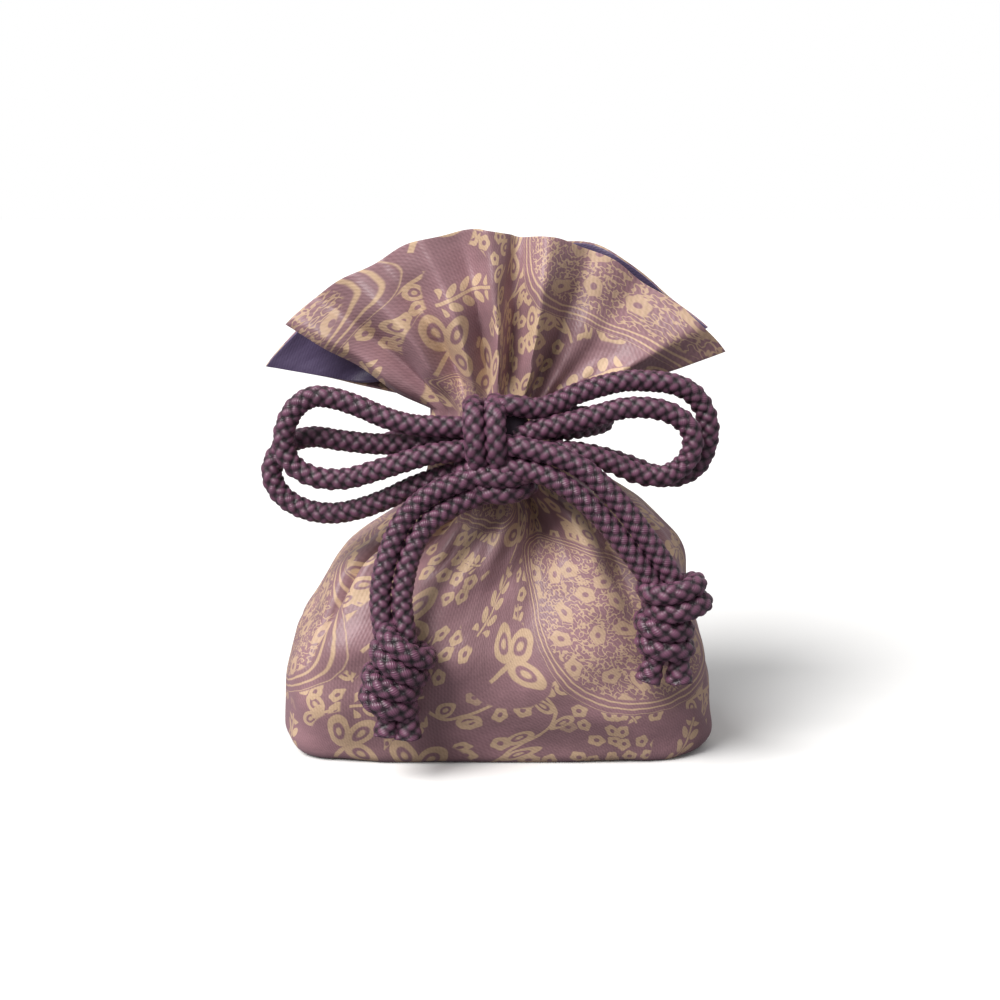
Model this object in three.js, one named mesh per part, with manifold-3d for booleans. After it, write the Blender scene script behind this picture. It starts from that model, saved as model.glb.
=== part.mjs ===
// Kinchaku: a small lined drawstring pouch, drawn shut and tied with a double bow.
// Millimetres, +Z up. The origin is the middle of the flat base; the bow faces -Y.
import * as THREE from 'three';
import { mergeVertices } from 'three/addons/utils/BufferGeometryUtils.js';
import Module from 'manifold-3d';

const wasm = await Module();
wasm.setup();

// Pouch sizes
const baseWidth = 95;
const baseDepth = 56;
const bodyWidth = 102;
const bodyDepth = 63;
const shoulderLean = 6.5;
const neckWidth = 34;
const neckDepth = 28;
const neckHeight = 75.5;
const ruffleRadius = 56.5;
const backFlapDrop = 2.5;
const fanCentreDrop = 9.5;
const frontRimDepth = 9;
const backRimDepth = 8;
const frontFan = { left: 145, right: 28 };
const backFan = { left: 157, right: 33 };
const cornerReach = 4;
const cornerRimDepth = 4.5;
const outerCloth = 1;
const liningCloth = 0.8;
const gatherDepth = 1;
const bodyFoldDepth = 6.5;
const ruffleFoldDepth = 4.2;

// Cord and knot sizes
const cordDiameter = 4.4;
const clearance = 0.3;
const knotWidth = 18;
const knotHeight = 20;
const knotThickness = 15.5;
const knotShift = 1.2;
const endKnotWidth = 12.5;
const endKnotLength = 22;

// Sizes that follow
const cordPitch = cordDiameter + clearance;
const channelHeight = 2 * cordPitch + 1.6;
const channelBottom = neckHeight - channelHeight / 2;
const channelTop = neckHeight + channelHeight / 2;
const channelRoom = gatherDepth + clearance + cordDiameter + clearance;
const ringInset = outerCloth + gatherDepth + clearance + cordDiameter / 2;
const leadOffset = 1.5 * gatherDepth + 2 * clearance + cordDiameter / 2;
const fanCentre = neckHeight - fanCentreDrop;
const radius = cordDiameter / 2;

// How finely the cloth is divided
const FRONT_COLUMNS = 34;
const BACK_COLUMNS = 20;
const SLIT_COLUMNS = 3;
const WALL_ROWS = 10;
const CHANNEL_ROWS = 2;
const RUFFLE_ROWS = 6;
const SLIT = 0.07;
const STEP_DIAMETERS = 1.1;

const TAU = 2 * Math.PI;
const { lerp, smoothstep, clamp, degToRad } = THREE.MathUtils;
const point = (x, y, z) => new THREE.Vector3(x, y, z);

// The side wall from base to channel: share of height, of the way from neck to body in width
// and in depth, squareness of the section, and share of the lean to the right.
const wallStations = [
  [0, (baseWidth - neckWidth) / (bodyWidth - neckWidth), (baseDepth - neckDepth) / (bodyDepth - neckDepth), 5.4, 0],
  [0.07, 0.98, 0.94, 5, 0],
  [0.21, 1, 1, 4.4, 0],
  [0.39, 0.93, 1, 3.6, 0],
  [0.5, 0.84, 0.94, 3.1, 0.2],
  [0.65, 0.7, 0.8, 2.7, 0.55],
  [0.75, 0.51, 0.63, 2.4, 0.9],
  [0.82, 0.34, 0.45, 2.2, 1],
  [0.91, 0.13, 0.2, 2, 0.65],
  [1, 0, 0, 2, 0],
];

// Folds of the body: place at the neck and at the foot as a share of the way round from the
// left seam, height share of the foot, depth share, and width. A ridge has a negative depth.
const bodyFolds = [
  [0.1, 0.19, 0.55, 1, 0.028],
  [0.268, 0.257, 0.5, 0.9, 0.024],
  [0.225, 0.215, 0.45, -0.3, 0.03],
  [0.06, 0.108, 0.4, 0.4, 0.014],
  [0.33, 0.33, 0.6, 0.25, 0.03],
  [0.43, 0.41, 0.6, 0.35, 0.02],
  [0.57, 0.59, 0.5, 0.5, 0.022],
  [0.68, 0.66, 0.42, 0.8, 0.03],
  [0.78, 0.79, 0.5, 0.9, 0.028],
  [0.9, 0.87, 0.45, 0.6, 0.026],
];

// Pleats of the ruffle: place at the neck and at the rim, height share at each, and width.
const rufflePleats = [
  [0.09, 0.076, 1, 0.75, 0.024],
  [0.13, 0.05, -0.5, -0.6, 0.022],
  [0.165, 0.13, 0.6, 0.2, 0.022],
  [0.2, 0.16, -1, -0.5, 0.022],
  [0.235, 0.19, 1, 0.7, 0.022],
  [0.268, 0.25, -1, -0.8, 0.022],
  [0.31, 0.295, 1, 0.9, 0.02],
  [0.345, 0.345, -0.9, -0.9, 0.026],
  [0.39, 0.415, 0.9, 1, 0.028],
  [0.6, 0.59, 0.9, 0.7, 0.026],
  [0.65, 0.65, -0.9, -0.8, 0.028],
  [0.7, 0.71, 1, 0.9, 0.028],
  [0.76, 0.77, -1, -0.9, 0.03],
  [0.82, 0.835, 1, 0.9, 0.028],
  [0.87, 0.89, -0.8, -0.6, 0.026],
];

const rise = (t) => smoothstep(t, 0, 1);

// One rounded ridge, 1 high at its place round the bag and falling to nothing beside it.
function ridge(turn, place, width) {
  const apart = THREE.MathUtils.euclideanModulo(turn - place + 0.5, 1) - 0.5;
  return Math.exp(-((apart / width) ** 2));
}

function pleats(turn, up) {
  return rufflePleats.reduce((sum, [neck, rim, low, high, width]) =>
    sum + ridge(turn, lerp(neck, rim, up), width) * lerp(low * gatherDepth, high * ruffleFoldDepth, up), 0);
}

function bodyFold(turn, height) {
  const peak = 0.78;
  const folds = bodyFolds.reduce((sum, [neck, foot, start, depth, width]) => {
    const up = clamp((height - start) / (1 - start), 0, 1);
    const grown = rise(clamp((height - start + 0.1) / (peak - start + 0.1), 0, 1));
    const fading = 1 - rise(clamp((height - peak) / (1 - peak), 0, 1));
    return sum - depth * bodyFoldDepth * grown * fading * ridge(turn, lerp(foot, neck, up), width);
  }, 0);
  return folds + pleats(turn, 0) * rise(clamp((height - 0.85) / 0.15, 0, 1));
}

// A point of a squared ellipse, turn 0 at the left, a quarter at the front.
function section(turn, halfWidth, halfDepth, squareness, shift, z) {
  const angle = Math.PI + TAU * turn;
  const round = (value) => Math.sign(value) * Math.abs(value) ** (2 / squareness);
  return point(shift + halfWidth * round(Math.cos(angle)), halfDepth * round(Math.sin(angle)), z);
}

function outward(turn, halfWidth, halfDepth) {
  const angle = Math.PI + TAU * turn;
  return point(Math.cos(angle) / halfWidth, Math.sin(angle) / halfDepth, 0).normalize();
}

function wallPoint(turn, height, foldShare) {
  const last = wallStations.length - 1;
  let i = wallStations.findIndex((station) => station[0] > height);
  i = i < 0 ? last : i;
  const [low, high] = [wallStations[i - 1], wallStations[i]];
  const t = (height - low[0]) / (high[0] - low[0]);
  const [, wide, deep, squareness, lean] = low.map((value, k) => lerp(value, high[k], t));
  const halfWidth = lerp(neckWidth, bodyWidth, wide) / 2;
  const halfDepth = lerp(neckDepth, bodyDepth, deep) / 2;
  const place = section(turn, halfWidth, halfDepth, squareness, lean * shoulderLean, height * channelBottom);
  return place.addScaledVector(outward(turn, halfWidth, halfDepth), bodyFold(turn, height) * foldShare);
}

function channelPoint(turn, z, foldShare) {
  const place = section(turn, neckWidth / 2, neckDepth / 2, 2, 0, z);
  return place.addScaledVector(outward(turn, neckWidth, neckDepth), pleats(turn, 0) * foldShare);
}

// The rim of each flap: a fan about a point in the neck, wider at the corners.
function rimPoint(turn) {
  const front = turn < 0.5;
  const along = front ? (turn - SLIT) / (0.5 - 2 * SLIT) : (1 - SLIT - turn) / (0.5 - 2 * SLIT);
  const fan = front ? frontFan : backFan;
  const angle = degToRad(lerp(fan.left, fan.right, along));
  const corner = Math.abs(2 * along - 1) ** 3;
  const reach = ruffleRadius + (front ? 0 : backFlapDrop * (corner - 1)) + cornerReach * corner;
  const y = lerp(front ? -frontRimDepth : backRimDepth, front ? -cornerRimDepth : cornerRimDepth, corner);
  return point(reach * Math.cos(angle), y, fanCentre + reach * Math.sin(angle));
}

function rufflePoint(turn, up, foldShare) {
  const low = section(turn, neckWidth / 2, neckDepth / 2, 2, 0, channelTop);
  const side = point(0, turn < 0.5 ? -1 : 1, 0);
  const across = outward(turn, neckWidth, neckDepth).lerp(side, rise(clamp(2 * up, 0, 1))).normalize();
  const flare = 2.2 * Math.sin(Math.PI * up);
  return low.lerp(rimPoint(turn), up)
    .addScaledVector(across, flare + pleats(turn, up) * foldShare);
}

// How much of the cord channel's room the lining gives way to, from 0 to 1.
function channelShare(row) {
  if (row.kind === 'wall') return rise(clamp((row.at - 0.82) / 0.16, 0, 1));
  return row.kind === 'ruffle' ? 1 - rise(clamp(row.at / 0.4, 0, 1)) : Number(row.kind === 'channel');
}

function clothPoint(row, turn, foldShare) {
  if (row.kind === 'base') {
    const edge = wallPoint(turn, 0, 0);
    return point(edge.x * row.at, edge.y * row.at, 0);
  }
  if (row.kind === 'wall') return wallPoint(turn, row.at, foldShare);
  if (row.kind === 'channel') return channelPoint(turn, lerp(channelBottom, channelTop, row.at), foldShare);
  return rufflePoint(turn, row.at, foldShare);
}

function clothRows() {
  const rows = [{ kind: 'base', at: 0.45 }, { kind: 'base', at: 0.93 }];
  for (let i = 0; i < WALL_ROWS; i += 1) rows.push({ kind: 'wall', at: (i + 0.35) / WALL_ROWS });
  for (let i = 0; i <= CHANNEL_ROWS; i += 1) rows.push({ kind: 'channel', at: i / CHANNEL_ROWS });
  for (let i = 1; i <= RUFFLE_ROWS; i += 1) rows.push({ kind: 'ruffle', at: i / RUFFLE_ROWS });
  return rows;
}

function clothColumns() {
  const spans = [[-SLIT, SLIT, SLIT_COLUMNS], [SLIT, 0.5 - SLIT, FRONT_COLUMNS],
    [0.5 - SLIT, 0.5 + SLIT, SLIT_COLUMNS], [0.5 + SLIT, 1 - SLIT, BACK_COLUMNS]];
  return spans.flatMap(([from, to, count]) => Array.from({ length: count }, (_, i) => ({
    turn: THREE.MathUtils.euclideanModulo(lerp(from, to, i / count), 1),
    slitAfter: count === SLIT_COLUMNS,
    edge: i === 0,
  })));
}

// A closed shell of cloth between two depths under the outer surface. The depth grows by the
// channel's room where the cords run. Above slitRow the side columns are left open.
function clothShell(top, bottom, channelExtra, slitFrom) {
  const rows = clothRows();
  const columns = clothColumns();
  const count = columns.length;
  const flatten = (row) => (channelExtra > 0 ? 1 - channelShare(row) : 1);
  const middle = rows.map((row) => columns.map((column) => clothPoint(row, column.turn, flatten(row))));
  const isRuffle = (r) => rows[r].kind === 'ruffle';
  const open = (r, c) => columns[c].slitAfter && (isRuffle(r + 1) || rows[r].kind === slitFrom);

  // The normal at a grid point, from its neighbours on the same flap.
  const normalAt = (r, c) => {
    const before = (c + count - 1) % count;
    const after = (c + 1) % count;
    const cutBefore = r > 0 && open(Math.min(r, rows.length - 2), before);
    const cutAfter = r > 0 && open(Math.min(r, rows.length - 2), c);
    const left = middle[r][cutBefore ? c : before];
    const right = middle[r][cutAfter ? c : after];
    const low = middle[Math.max(r - 1, 0)][c];
    const high = middle[Math.min(r + 1, rows.length - 1)][c];
    return right.clone().sub(left).cross(high.clone().sub(low)).normalize();
  };
  const skin = (depth) => rows.map((row, r) => columns.map((_, c) => {
    const across = { base: point(0, 0, -1), channel: outward(columns[c].turn, neckWidth, neckDepth) };
    const normal = across[row.kind] ?? normalAt(r, c);
    const sunk = middle[r][c].clone().addScaledVector(normal, -(depth + channelExtra * channelShare(row)));
    if (row.kind === 'wall') sunk.z = Math.max(sunk.z, depth);
    return sunk;
  }));
  const skins = [skin(top), skin(bottom)];
  const positions = [];
  const index = (side, r, c) => (side * rows.length + r) * count + (c % count);
  skins.forEach((grid) => grid.forEach((ring) => ring.forEach((p) => positions.push(p.x, p.y, p.z))));
  const centre = [top, bottom].map((depth) => positions.push(0, 0, depth) / 3 - 1);
  const faces = [];
  const quad = (a, b, c, d) => faces.push(a, b, c, a, c, d);

  for (let c = 0; c < count; c += 1) {
    faces.push(centre[0], index(0, 0, c + 1), index(0, 0, c));
    faces.push(centre[1], index(1, 0, c), index(1, 0, c + 1));
    for (let r = 0; r < rows.length - 1; r += 1) {
      if (open(r, c)) continue;
      quad(index(0, r, c), index(0, r, c + 1), index(0, r + 1, c + 1), index(0, r + 1, c));
      quad(index(1, r, c), index(1, r + 1, c), index(1, r + 1, c + 1), index(1, r, c + 1));
      const rimHere = r === rows.length - 2 || open(r + 1, c);
      if (rimHere) quad(index(0, r + 1, c), index(0, r + 1, c + 1), index(1, r + 1, c + 1), index(1, r + 1, c));
      if (open(r, (c + count - 1) % count)) {
        quad(index(0, r, c), index(0, r + 1, c), index(1, r + 1, c), index(1, r, c));
      }
      if (open(r, (c + 1) % count)) {
        quad(index(1, r, c + 1), index(1, r + 1, c + 1), index(0, r + 1, c + 1), index(0, r, c + 1));
      }
    }
  }
  return surface(positions, faces);
}

function surface(positions, faces) {
  const used = [...new Set(faces)].sort((a, b) => a - b);
  const renumbered = new Map(used.map((old, i) => [old, i]));
  const geometry = new THREE.BufferGeometry();
  const kept = used.flatMap((i) => positions.slice(3 * i, 3 * i + 3));
  geometry.setAttribute('position', new THREE.Float32BufferAttribute(kept, 3));
  geometry.setIndex(faces.map((i) => renumbered.get(i)));
  geometry.computeVertexNormals();
  return geometry;
}

// A round cord along a smooth curve through its points.
function cordGeometry(route, size = cordDiameter, sides = 8) {
  const curve = new THREE.CatmullRomCurve3(route.map((p) => point(...p)), false, 'centripetal');
  const corner = (_, i) => new THREE.Vector2(size / 2, 0).rotateAround(new THREE.Vector2(), (TAU * i) / sides);
  const ring = new THREE.Shape(Array.from({ length: sides }, corner));
  const steps = Math.max(3, Math.round(curve.getLength() / (cordDiameter * STEP_DIAMETERS)));
  return new THREE.ExtrudeGeometry(ring, { steps, extrudePath: curve, bevelEnabled: false });
}
// The stretch of a drawstring that the bag holds: once round in the channel, out of the side
// slit on both ends, and round the neck to the back of the bow. side is -1 left, 1 right.
function channelRoute(side, z) {
  const at = (inset, degrees) => {
    const angle = degToRad(degrees);
    return [side * (neckWidth / 2 - inset) * Math.cos(angle), (neckDepth / 2 - inset) * Math.sin(angle), z];
  };
  const inner = [-68, -58, -46, -34].map((degrees) => at(-leadOffset, degrees));
  const beside = ([x, y]) => [side * (neckWidth / 2 + x), y, z];
  const turnBack = [[1.7, -5.2], [-0.6, -2.9], [-3.8, -3], [-6.1, -4.9]].map(beside);
  const ring = Array.from({ length: 15 }, (_, i) => at(ringInset, -50 - i * 18.6));
  const wayOut = [[-4.4, 3.7], [-0.9, 1.8], [3, 1.2], [6.4, -1.7]].map(beside);
  const outer = [-18, -32, -46, -56, -62].map((degrees) => at(-leadOffset - cordPitch - 0.4, degrees));
  return [...inner, ...turnBack, ...ring, ...wayOut, ...outer];
}

// Routes of the free cords. The bow's loops leave the knot's sides and come back to them.
const loopRoutes = {
  left_loop_upper: [[-8.6, -27, 80], [-13, -27, 80.2], [-18.6, -26.6, 80.4], [-24.8, -26, 81.9],
    [-31.1, -25.5, 84.5], [-36.7, -25, 86.2], [-41.2, -25, 86.5], [-45, -25, 84.2], [-47.4, -25, 79.9],
    [-48, -25, 75.1], [-45.8, -25, 70.8], [-40.9, -25.5, 68.3], [-34.5, -26, 68], [-28.1, -27, 69.8],
    [-21.7, -28, 72], [-15.4, -28.2, 73.9], [-9, -28.2, 74.8]],
  left_loop_lower: [[-9.6, -23.6, 76.8], [-15.3, -23.4, 76], [-22.1, -21.8, 75.2], [-29, -20.4, 75.1],
    [-35.9, -19.5, 75.7], [-42.3, -19, 76.4], [-47.4, -19, 75], [-50.7, -19, 71.7], [-51.6, -19.5, 67.6],
    [-49.6, -20, 63.3], [-44.7, -21, 60.2], [-38.2, -22, 59.2], [-31.7, -23, 60.4], [-25.2, -24, 62.9],
    [-18.8, -24.5, 66], [-12.8, -25, 68.2], [-8.8, -25.3, 69.3]],
  right_loop_outer: [[8.9, -25, 83.2], [13.2, -24.6, 85], [17.7, -24, 87], [23.3, -23.5, 88.7],
    [28.7, -23, 89.8], [34.2, -22.5, 89.7], [39.6, -22, 89], [44.1, -21, 86.8], [47, -20, 83],
    [48.3, -19.5, 78.5], [47.8, -19, 73.8], [45.7, -19, 69.6], [41.6, -19, 67.3], [36.3, -19.5, 67.6],
    [30.4, -20, 69.9], [24.6, -21, 71.9], [18.9, -21.6, 73.2], [13.6, -21.8, 73.6], [10.4, -22, 73.6]],
  right_loop_inner: [[10, -27, 79.4], [13.6, -27, 80.4], [18.5, -27, 81.6], [23.7, -26.5, 83],
    [28.6, -26, 84.1], [34, -25.5, 84.1], [39, -25, 82.8], [42.9, -25, 79.9], [44.1, -25, 76.2],
    [43.1, -25, 72.4], [40.2, -25, 69.6], [36.1, -25.5, 68.5], [31.5, -26, 69.3], [27, -26.5, 71.3],
    [22, -27, 73.2], [16.3, -27.5, 74.4], [10.8, -27.8, 74.5]],
};

const tailRoutes = {
  left_tail_outer: [[-7.6, -30.2, 68.4], [-12.5, -30.8, 66.6], [-16.5, -31.4, 64.3], [-20.8, -32.4, 60],
    [-23.6, -33.8, 54.2], [-25.3, -35, 48.5], [-26, -36, 42.6], [-25.6, -37, 38], [-24.9, -37.5, 33.8]],
  left_tail_inner: [[-5.6, -29.2, 64.2], [-10.1, -30.2, 62.4], [-13.5, -31.2, 60.5], [-16.8, -32.4, 57.2],
    [-19.2, -33.8, 52.4], [-20.5, -35, 47.5], [-21.2, -36, 42.4], [-20.8, -37, 38.3], [-20.2, -37.5, 33.8]],
  right_tail_outer: [[8.6, -32.2, 75.6], [13, -32.7, 74.6], [18.4, -32.8, 72], [23.6, -33.4, 67.8],
    [28.4, -33.8, 62.6], [32.6, -34, 57], [36, -34, 52.2], [38.8, -34, 47.6]],
  right_tail_inner: [[7, -31.6, 71], [11.4, -32.4, 69.8], [15.6, -33, 67.4], [20.2, -33.6, 63.8],
    [24.6, -34, 59.2], [28.8, -34, 54], [32, -34, 49.8], [34.6, -34, 45.8]],
};

// manifold-3d joins and cuts.
function solid(geometry) {
  const bare = geometry.clone();
  ['normal', 'uv'].forEach((name) => bare.deleteAttribute(name));
  const merged = mergeVertices(bare, 1e-4);
  return new wasm.Manifold(new wasm.Mesh({
    numProp: 3,
    vertProperties: Float32Array.from(merged.attributes.position.array),
    triVerts: Uint32Array.from(merged.index.array),
  }));
}

function geometryOf(manifold) {
  const { vertProperties, triVerts } = manifold.getMesh();
  const geometry = new THREE.BufferGeometry();
  geometry.setAttribute('position', new THREE.BufferAttribute(vertProperties, 3));
  geometry.setIndex(new THREE.BufferAttribute(triVerts, 1));
  geometry.computeVertexNormals();
  return geometry;
}

// An egg-shaped lump: centre, half sizes and a tilt about Y.
function lump(centre, halfSizes, tilt = 0, around = 14, up = 8) {
  const geometry = new THREE.SphereGeometry(1, around, up);
  geometry.scale(...halfSizes);
  geometry.rotateY(degToRad(tilt));
  geometry.translate(...centre);
  return solid(geometry);
}

// Cuts a clear seat for each cord that ends in a knot.
function withSeats(knot, routes) {
  return routes.reduce((body, route) => {
    const seat = cordGeometry(route, cordDiameter + 2 * clearance);
    const ends = [route[0], route.at(-1)].map((end) => lump(end, Array(3).fill(radius + clearance), 0, 8, 6));
    return ends.reduce((cut, end) => cut.subtract(end), body.subtract(solid(seat)));
  }, knot);
}

// The bow knot: a rounded core, a strap of two cords down its front and two wraps below.
// Its strands are placed by shares of the knot's half sizes.
function bowKnotGeometry(routes) {
  const gap = gatherDepth + 3 * clearance;
  const centre = [knotShift, -(neckDepth / 2 + gap + knotThickness / 2), neckHeight];
  const half = [knotWidth / 2, knotThickness / 2, knotHeight / 2];
  const core = lump(centre, half, 0, 20, 12);
  const strand = (shares) => solid(cordGeometry(shares.map((share) =>
    share.map((value, k) => centre[k] + value * half[k]))));
  const strap = (x, top) => [[x, 0.1, top], [x, -0.5, top - 0.04], [x, -0.95, top - 0.4], [x, -1.06, 0.3],
    [x, -1, -0.24], [x, -0.72, -0.6], [x, -0.26, -0.7]];
  const wrap = (z, reach) => [[-reach, 0, z + 0.1], [0.22 - reach, -0.52, z + 0.05], [-0.33, -0.85, z],
    [0.22, -0.89, z], [reach - 0.22, -0.59, z + 0.06], [reach, 0, z + 0.14]];
  const strands = [strap(-0.4, 0.9), strap(0.11, 0.94), wrap(-0.56, 0.89), wrap(-0.9, 0.71)];
  return geometryOf(withSeats(strands.reduce((sum, route) => sum.add(strand(route)), core), routes));
}

// An end knot: two wraps one above the other and the short end of the cords below.
function endKnotGeometry([x, y, z], side, routes) {
  const half = endKnotWidth / 2;
  const length = endKnotLength;
  const topWrap = lump([x + side * 1.6, y, z + 0.2 * length], [half * 1.02, half * 0.95, 0.23 * length], side * 14);
  const midWrap = lump([x - side * 0.6, y, z - 0.02 * length], [half * 0.98, half * 0.95, 0.2 * length], side * -8);
  const stub = lump([x - side * 0.2, y, z - 0.3 * length], [half * 0.72, half * 0.66, 0.22 * length], 0);
  return geometryOf(withSeats(topWrap.add(midWrap).add(stub), routes));
}

const brocade = { color: 0x96737d, roughness: 0.75, metalness: 0 };
const lining = { color: 0x4b3c55, roughness: 0.6, metalness: 0 };
const cord = { color: 0x46283f, roughness: 0.6, metalness: 0 };

function piece(name, geometry, finish) {
  const mesh = new THREE.Mesh(geometry, new THREE.MeshStandardMaterial(finish));
  mesh.name = name;
  return mesh;
}

function bag() {
  const liningTop = outerCloth + clearance;
  return [
    piece('outer_bag', clothShell(0, outerCloth, 0, 'channel'), brocade),
    piece('lining_bag', clothShell(liningTop, liningTop + liningCloth, channelRoom, 'none'), lining),
  ];
}

function drawstrings() {
  const channels = {
    left_cord_in_channel: channelRoute(-1, neckHeight - cordPitch / 2 - 0.2),
    right_cord_in_channel: channelRoute(1, neckHeight + cordPitch / 2 + 0.2),
  };
  const tied = Object.values({ ...channels, ...loopRoutes, ...tailRoutes });
  const { left_tail_outer, left_tail_inner, right_tail_outer, right_tail_inner } = tailRoutes;
  const leftTails = [left_tail_outer, left_tail_inner];
  const rightTails = [right_tail_outer, right_tail_inner];
  return [
    ...Object.entries({ ...channels, ...loopRoutes, ...tailRoutes })
      .map(([name, route]) => piece(name, cordGeometry(route), cord)),
    piece('bow_knot', bowKnotGeometry(tied), cord),
    piece('left_end_knot', endKnotGeometry([-22.6, -37.5, 24.6], 1, leftTails), cord),
    piece('right_end_knot', endKnotGeometry([38.4, -33.6, 36.6], 1, rightTails), cord),
  ];
}

const kinchaku = new THREE.Group();
kinchaku.add(...bag(), ...drawstrings());

export default kinchaku;
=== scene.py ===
"""A lined drawstring pouch, drawn shut and tied with two doubled braided cords in a front bow.

Metres, +Z up. The pouch stands at the origin with its bow towards -Y.
"""

import math

import bmesh
import bpy
import numpy as np
from bpy.props import FloatProperty, FloatVectorProperty, PointerProperty
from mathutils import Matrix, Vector


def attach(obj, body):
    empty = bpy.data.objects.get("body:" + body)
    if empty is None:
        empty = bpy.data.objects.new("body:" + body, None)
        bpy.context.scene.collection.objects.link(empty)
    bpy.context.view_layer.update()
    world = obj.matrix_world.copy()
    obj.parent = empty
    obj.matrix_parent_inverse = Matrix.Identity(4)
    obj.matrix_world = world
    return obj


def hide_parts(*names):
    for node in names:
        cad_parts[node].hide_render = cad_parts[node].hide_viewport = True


bl_info = {
    "name": "Drawstring pouch",
    "version": (1, 0, 0),
    "blender": (4, 5, 0),
    "location": "3D View > Sidebar > Pouch",
    "description": "Dresses a drawstring pouch with folded brocade, a lining and braided cords",
    "category": "Object",
}

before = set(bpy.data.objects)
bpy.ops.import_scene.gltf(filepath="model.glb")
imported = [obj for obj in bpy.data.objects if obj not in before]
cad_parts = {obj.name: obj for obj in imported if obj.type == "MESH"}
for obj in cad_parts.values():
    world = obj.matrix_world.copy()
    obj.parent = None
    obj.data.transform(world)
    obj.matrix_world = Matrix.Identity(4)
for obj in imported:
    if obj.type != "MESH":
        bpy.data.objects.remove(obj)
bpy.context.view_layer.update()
MM = 0.001
TAU = 2 * math.pi

# Sizes of the cloth, in millimetres, as in the solids.
NECK_WIDTH, NECK_DEPTH = 34.0, 28.0
BODY_WIDTH, BODY_DEPTH = 102.0, 63.0
BASE_WIDTH = 95.0
CHANNEL_BOTTOM, CHANNEL_TOP = 70.0, 81.0
FAN_CENTRE = 66.0
RUFFLE_RADIUS = 56.5
SHOULDER_LEAN = 6.5
CORNER_REACH = 4
BACK_DROP = 2.5

# How far each side slit reaches on both sides of its seam, as a share of the way round.
SLIT = 0.07

# Degrees from which to which each flap of the ruffle fans out.
FRONT_FAN = (145, 28)
BACK_FAN = (157, 33)

# How much the visible cloth is moved by gathers, seams, the foot's softness and the rim's unevenness.
GATHER_HEIGHT = 0.75
SEAM_DEPTH = 0.7
FOOT_ROUNDING = 2.4
FOOT_SAG = 1.0
FOOT_SPREAD = 1.4
FOOT_REACH = 7.0
RUFFLE_BULGE = 2.2
FRONT_RIM_RISE, BACK_RIM_RISE = -1.0, 3.1

# Room between brocade and lining for the cord in the channel, and the heights of its two cords.
CHANNEL_ROOM = 6.0
LEFT_CORD_HEIGHT, RIGHT_CORD_HEIGHT = 72.95, 78.05

# Width of the sewn crease at each side, as a share of the way round.
SEAM_WIDTH = 0.0035

# The four zones of the cloth, from the middle of the base to the rim.
ON_BASE, ON_WALL, ON_CHANNEL, ON_RUFFLE = range(4)


def ease(t):
    """From 0 to 1, flat at both ends."""
    t = np.clip(t, 0, 1)
    return t * t * (3 - 2 * t)


def mix(a, b, t):
    return a + (b - a) * t


def smooth_through(x, places, values):
    """A smooth curve through the given values that doesn't overshoot them."""
    steps = np.diff(places)
    slopes = np.diff(values) / steps
    inner = np.where(slopes[:-1] * slopes[1:] > 0, 2 * slopes[:-1] * slopes[1:], 0)
    inner = inner / np.where(inner != 0, slopes[:-1] + slopes[1:], 1)
    tangents = np.concatenate([[slopes[0]], inner, [slopes[-1]]])
    i = np.clip(np.searchsorted(places, x, side="right") - 1, 0, len(steps) - 1)
    t = (x - places[i]) / steps[i]
    rest = 1 - t
    return (
        values[i] * rest * rest * (1 + 2 * t)
        + values[i + 1] * t * t * (3 - 2 * t)
        + steps[i] * t * rest * (tangents[i] * rest - tangents[i + 1] * t)
    )


# Mesh helpers

# Grid edges that meet are welded within this distance, in metres.
WELD = 2e-6


def unit_grid(name, columns, rows):
    """A flat grid of quads, and each vertex's column and row."""
    bm = bmesh.new()
    bmesh.ops.create_grid(bm, x_segments=columns, y_segments=rows, size=0.5)
    mesh = bpy.data.meshes.new(name)
    bm.to_mesh(mesh)
    bm.free()
    flat = np.empty(len(mesh.vertices) * 3, np.float32)
    mesh.vertices.foreach_get("co", flat)
    square = flat.reshape(-1, 3)[:, :2] + 0.5
    return mesh, np.round(square[:, 0] * columns).astype(int), np.round(square[:, 1] * rows).astype(int)


def corner_vertices(mesh):
    corners = np.empty(len(mesh.loops), np.int32)
    mesh.loops.foreach_get("vertex_index", corners)
    return corners


def write_uv(mesh, name, places):
    """One place on the flat cloth or cord for each corner, in metres."""
    layer = mesh.uv_layers.new(name=name)
    layer.uv.foreach_set("vector", places.astype(np.float32).ravel())


def write_value(mesh, name, values):
    """One number for each vertex."""
    attribute = mesh.attributes.new(name, "FLOAT", "POINT")
    attribute.data.foreach_set("value", values.astype(np.float32))


def place(mesh, points):
    """Moves the vertices to the points, given in millimetres."""
    mesh.vertices.foreach_set("co", (points * MM).astype(np.float32).ravel())
    mesh.update()


def close_up(mesh, unwanted=None, cap=False):
    """Drops unwanted faces, welds the grid's meeting edges, caps open ends and turns faces out."""
    bm = bmesh.new()
    bm.from_mesh(mesh)
    if unwanted is not None:
        bm.faces.ensure_lookup_table()
        dropped = [bm.faces[i] for i in np.flatnonzero(unwanted)]
        bmesh.ops.delete(bm, geom=dropped, context="FACES")
    bmesh.ops.remove_doubles(bm, verts=bm.verts, dist=WELD)
    if cap:
        rims = [edge for edge in bm.edges if edge.is_boundary]
        bmesh.ops.holes_fill(bm, edges=rims, sides=0)
        bmesh.ops.recalc_face_normals(bm, faces=bm.faces)
    for face in bm.faces:
        face.smooth = True
    bm.to_mesh(mesh)
    bm.free()
    mesh.update()


def add_object(name, mesh, *materials):
    piece = bpy.data.objects.new(name, mesh)
    bpy.context.scene.collection.objects.link(piece)
    for material in materials:
        mesh.materials.append(material)
    return piece


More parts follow.
